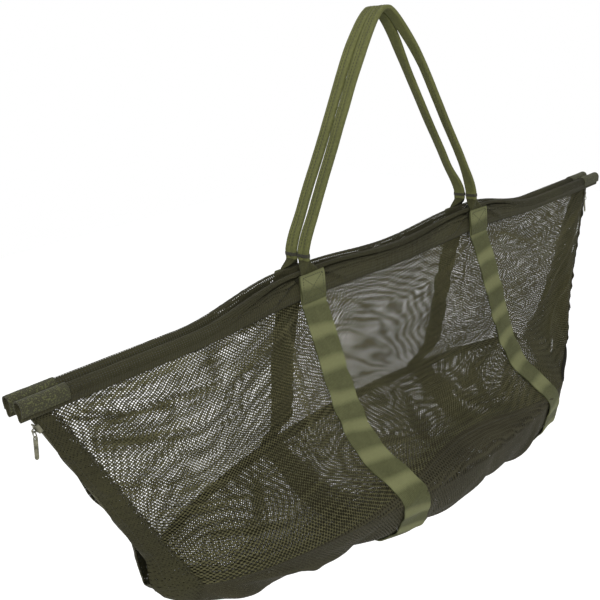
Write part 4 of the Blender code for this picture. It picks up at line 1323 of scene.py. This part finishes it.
# %% thread bands
BAND_LOW, BAND_HIGH, WRAPS = NECK_Z + 0.004, NECK_Z + 0.008, 9
WRAP_HALF_X, WRAP_HALF_Y, THREAD_RADIUS = 0.00290, 0.00865, 0.0003


def wire_ring(radius, wire, around, section, name=None):
    return made(bpy.ops.mesh.primitive_torus_add, name, major_segments=around, minor_segments=section,
                major_radius=radius, minor_radius=wire)


for half, side, corner, end in QUARTERS:
    wraps = [wire_ring(1.0, THREAD_RADIUS, 40, 6) for _ in range(WRAPS)]
    for k, wrap in enumerate(wraps):
        level = BAND_LOW + (BAND_HIGH - BAND_LOW) * (k + 0.5) / WRAPS
        for vertex in wrap.data.vertices:
            flat = Vector((vertex.co.x, vertex.co.y))
            way, extra = flat.normalized(), flat.length - 1.0
            spread = [math.copysign(abs(v) ** 0.35, v) for v in way]
            x = end * STRAP_X + spread[0] * WRAP_HALF_X + way.x * extra
            y = side * HANDLE_Y + spread[1] * WRAP_HALF_Y + way.y * extra
            vertex.co = Vector((x, y, level + vertex.co.z + 0.0002 * math.sin(9 * way.x + k)))
    bound = joined("thread_band_" + corner, wraps)
    bound.data.uv_layers[0].name = "cut"
    dress(bound, "handle_" + half, dark_thread, "dark_thread", "bartack_" + corner)
print("necks and thread bands ready")

# %% [markdown]
# ## The zips
# A zip runs down each end, between the two bands. Its tapes are narrow woven strips, and its teeth are
# one long coil of plastic on each tape's edge. The coil is a tube that follows a helix.

# %% zips
ZIP_TOP = Vector((TOP_HALF_LENGTH, 0, BAR_Z - HEM_HALF - HEM_HANG - 0.0003))
ZIP_LOW = Vector((BASE_HALF_LENGTH, 0, BAR_Z - SEAM_END_DROP))
ZIP_DOWN = (ZIP_LOW - ZIP_TOP).normalized()
ZIP_OUT = Vector((-ZIP_DOWN.z, 0, ZIP_DOWN.x))
ZIP_SPAN = (ZIP_LOW - ZIP_TOP).length
ZIP_LENGTH = ZIP_SPAN - 0.011
TAPE_WIDTH, TAPE_THICKNESS = 0.008, 0.0009
TAPE_RISE, TAPE_TAIL = 0.0034, 0.0125  # a tape leans out to its band, and runs on to the tip
TAPE_EDGE = 0.0022  # the coil's inner half lies in the tape's edge
ZIP_HALF_GAP = 0.00015
COIL_PITCH, COIL_TURN, COIL_WIRE = 0.0021, 0.00072, 0.00026
COIL_OUT, COIL_REACH, COIL_START = 0.00140, 0.00078, 0.002
COIL_TURNS = int((ZIP_LENGTH - 2 * COIL_START) / COIL_PITCH)


def zip_point(end, down, out, across):
    """A place on a zip: down it from its first tooth, out of the bag, and across to the rear."""
    at = ZIP_TOP + ZIP_DOWN * (0.003 + down) + ZIP_OUT * out
    return Vector((end * at.x, across, at.z))


def tape_point(end, side, s, t):
    """A place on a tape: flat where the slider runs, and low down its inner edge reaches the band."""
    down = t * (ZIP_LENGTH + TAPE_TAIL)
    at = min(down / ZIP_SPAN, 1)
    band = skin(end * (half_length(at) - TAPE_WIDTH), at, side, -0.0022, False)
    reach = max(abs(band.y) - TAPE_RISE, 0) * between(0.35, 0.55, 0.97, 1.02, at)
    rise = TAPE_RISE * (1 - s) ** 1.5 + reach * (1 - s) ** 5
    out = TAPE_EDGE - (TAPE_EDGE + TAPE_WIDTH) * (1 - s)
    return zip_point(end, down, out, side * (ZIP_HALF_GAP + TAPE_THICKNESS + rise))


def coil_point(end, side, s, t):
    """A place on a coil's wire: s runs round the wire and t along it."""
    turn, around = 2 * math.pi * t * COIL_TURNS, 2 * math.pi * s
    middle = Vector((math.cos(turn) * COIL_REACH, math.sin(turn) * COIL_TURN))
    out, across = middle + middle.normalized() * COIL_WIRE * math.cos(around)
    down = COIL_START + t * COIL_TURNS * COIL_PITCH + COIL_WIRE * math.sin(around)
    return zip_point(end, down, COIL_OUT + out, side * (ZIP_HALF_GAP + COIL_TURN + COIL_WIRE + across))


for half, side, corner, end in QUARTERS:
    tape = cloth(
        "zip_tape_cloth_" + corner, 10, 90,
        lambda s, t: tape_point(end, side, s, t),
        lambda s, t: (s * TAPE_WIDTH, t * ZIP_LENGTH),
        TAPE_THICKNESS, outward_of(side),
    )
    dress(tape, half + "_half", zip_cloth, "zip_cloth", "zip_tape_" + corner)
    coil = tube(
        "zip_coil_" + corner, 5, COIL_TURNS * 8,
        lambda s, t: coil_point(end, side, s, t),
        lambda s, t: (s * 0.0016, t * ZIP_LENGTH),
    )
    dress(coil, half + "_half", coil_plastic, "zip_cloth")
print("zips:", round(ZIP_LENGTH, 4), "m long, with", COIL_TURNS, "turns of coil on each tape")

# %% [markdown]
# ### Sliders, rings, tabs and stops
# The metal pieces are small, and made as by hand: a primitive at its size, its edges bevelled, its
# nose narrowed. A slider's plate runs outside the coils, with a flank on the front side, and a loop on
# it holds the wire ring that the long pull tab hangs from.

# %% zip metal
def block(name, size, chamfer, at=(0, 0, 0)):
    """A bevelled block round a place."""
    piece = made(bpy.ops.mesh.primitive_cube_add, name, size=1)
    piece.data.transform(Matrix.Diagonal((*size, 1)))
    with_modifier(piece, "BEVEL", width=chamfer, segments=3)
    piece.data.transform(Matrix.Translation(at))
    return piece


def zip_matrix(end, down):
    """A frame on a zip: X out of the bag, Y to the rear, Z down the zip."""
    out_way = Vector((end * ZIP_OUT.x, 0, ZIP_OUT.z))
    down_way = Vector((end * ZIP_DOWN.x, 0, ZIP_DOWN.z))
    turn = Matrix((out_way, (0, 1, 0), down_way)).transposed()
    return Matrix.Translation(zip_point(end, down, 0, 0)) @ turn.to_4x4()


def settle(piece, matrix):
    """Puts the place into the mesh, and turns the faces outwards again where the frame mirrors it."""
    piece.data.transform(matrix)
    if matrix.determinant() < 0:
        piece.data.flip_normals()
    smoothed(piece, 35)


SLIDER_DOWN, PLATE_IN, PLATE_OUT = 0.013, 0.0028, 0.0046
EYE_OUT, EYE_RADIUS, EYE_WIRE, EYE_HOLE = PLATE_OUT + 0.0019, 0.00195, 0.00062, 0.0013
RING_RADIUS, RING_WIRE = 0.0036, 0.0006
PLAY = 0.0003  # what a hanging piece's hole leaves over the wire
SIDEWAYS, FORWARD = Matrix.Rotation(math.pi / 2, 4, "Y"), Matrix.Rotation(math.pi / 2, 4, "X")
ring_pivots = {}
for word, end in ENDS:
    plate = block("slider_plate", (PLATE_OUT - PLATE_IN, 0.0084, 0.011), 0.0006,
                  ((PLATE_IN + PLATE_OUT) / 2, 0, 0))
    for vertex in plate.data.vertices:
        z = vertex.co.z
        vertex.co.y *= 1 - 0.30 * smooth(0.0005, 0.0055, z) - 0.12 * smooth(-0.003, -0.0055, z)
    flank = block("slider_flank", (PLATE_IN + 0.0010, 0.0016, 0.0104), 0.0004,
                  (PLATE_IN / 2 + 0.0006, -0.00335, 0))
    eye = wire_ring(EYE_RADIUS, EYE_WIRE, 28, 10)
    eye.data.transform(Matrix.Translation((EYE_OUT, 0, 0)) @ Matrix.Diagonal((1, 1.25, 1, 1)) @ FORWARD)
    foot = block("slider_foot", (0.0012, 0.0022, 0.0070), 0.0004, (PLATE_OUT + 0.0003, 0, 0))
    slider = joined("slider_metal_" + word, [plate, flank, eye, foot])
    settle(slider, zip_matrix(end, SLIDER_DOWN))
    dress(slider, "zip_slider_" + word, gunmetal, "gunmetal", "zip_slider_" + word)

    pivot = zip_point(end, SLIDER_DOWN, EYE_OUT, 0) - Vector((0, 0, EYE_HOLE - RING_WIRE - PLAY))
    ring_pivots[word] = pivot
    ring = wire_ring(RING_RADIUS, RING_WIRE, 40, 12, "ring_wire_" + word)
    settle(ring, Matrix.Translation(pivot - Vector((0, 0, RING_RADIUS))) @ SIDEWAYS)
    dress(ring, "pull_ring_" + word, gunmetal, "gunmetal", "pull_ring_" + word)

    face = block("stop_face", (0.0009, 0.0046, 0.005), 0.0003, (0.0032, -0.0011, 0))
    cheek = block("stop_cheek", (0.0032, 0.0009, 0.005), 0.0003, (0.0019, -0.0029, 0))
    clip = joined("stop_clip_" + word, [face, cheek])
    settle(clip, zip_matrix(end, ZIP_LENGTH - 0.0025))
    dress(clip, "front_half", gunmetal, "gunmetal", "zip_stop_" + word)
print("sliders, rings and stops ready")

# %% [markdown]
# ### The pull tabs
# A tab is a long narrow plate with round ends. Its face is sunk a little inside a raised rim, and the
# hole at its top takes the ring's wire.

# %% pull tabs
TAB_LENGTH, TAB_WIDTH, TAB_THICKNESS, TAB_LEAN_DEG = 0.024, 0.0044, 0.0012, 7.0
TAB_HOLE = 0.0011


def pick_flat_faces():
    mesh = bpy.context.object.data
    bpy.ops.mesh.select_all(action="DESELECT")
    shape = bmesh.from_edit_mesh(mesh)
    for face in shape.faces:
        face.select = abs(face.normal.z) > 0.9
    bmesh.update_edit_mesh(mesh)


for word, end in ENDS:
    tab = made(bpy.ops.mesh.primitive_cylinder_add, "tab_plate_" + word, vertices=48,
               radius=TAB_WIDTH / 2, depth=TAB_THICKNESS)
    for vertex in tab.data.vertices:
        if vertex.co.y < -1e-6:
            vertex.co.y -= TAB_LENGTH - TAB_WIDTH
            vertex.co.x *= 0.94
    in_edit_mode(
        tab, pick_flat_faces,
        lambda: bpy.ops.mesh.inset(thickness=0.00055),
        lambda: bpy.ops.mesh.inset(thickness=0.0001, depth=-0.0002),
    )
    drill = made(bpy.ops.mesh.primitive_cylinder_add, vertices=24, radius=TAB_HOLE, depth=0.01)
    with_modifier(tab, "BOOLEAN", operation="DIFFERENCE", object=drill, solver="EXACT")
    bpy.data.objects.remove(drill, do_unlink=True)
    tab.data.transform(Matrix.Translation((0, -(TAB_HOLE - RING_WIRE - PLAY), 0)))
    lean = Matrix.Rotation(math.radians(-end * TAB_LEAN_DEG), 4, "Y")
    pivot = ring_pivots[word] - Vector((0, 0, 2 * RING_RADIUS))
    settle(tab, Matrix.Translation(pivot) @ lean @ FORWARD)
    dress(tab, "pull_tab_" + word, gunmetal, "gunmetal", "pull_tab_" + word)
print("tabs hang at", {k: [round(x, 4) for x in v] for k, v in ring_pivots.items()})

# %% [markdown]
# ## The studio
# The bag hangs well above a plain pale floor. The light is soft and comes mostly from the front and
# the left. The camera sees the floor and the world as white, and so do glossy rays, but the cloth is
# lit at a plain level.

# %% studio
FLOOR_Z = -1.30
CLOTH_LIGHT, WHITE = (0.21, 0.214, 0.218, 1), (1, 1, 1, 1)

world = bpy.data.worlds.new("studio_world")
bpy.context.scene.world = world
world.use_nodes = True
sky = Nodes(world.node_tree)
sky.into(sky.tree.nodes["Background"].inputs["Color"], sky.blend(sky.camera_share(), CLOTH_LIGHT, WHITE))

floor = made(bpy.ops.mesh.primitive_plane_add, "floor", size=9, location=(0, 0, FLOOR_Z))
paint = Finish("floor_paint", 0.9)
paint.set("Base Color", (0.82, 0.82, 0.81, 1))
paint.set("Emission Color", WHITE)
paint.set("Emission Strength", paint.span(paint.camera_share(), 0, 1, 0, 0.80))
floor.data.materials.append(paint.material)

for name, place, target, size, power in (
    ("key_light", (-1.7, -1.8, 1.1), (0, 0, -0.3), 1.1, 52),
    ("fill_light", (1.9, -1.4, 0.2), (0, 0, -0.4), 1.6, 5),
    ("top_light", (0.1, 0.6, 1.6), (0, 0, -0.3), 1.8, 12),
):
    bpy.ops.object.light_add(type="AREA", location=place)
    lamp = bpy.context.object
    lamp.name = name
    lamp.data.size, lamp.data.energy = size, power
    lamp.rotation_euler = (Vector(target) - Vector(place)).to_track_quat("-Z", "Y").to_euler()
bpy.context.scene.view_settings.view_transform = "Standard"
print("studio ready")
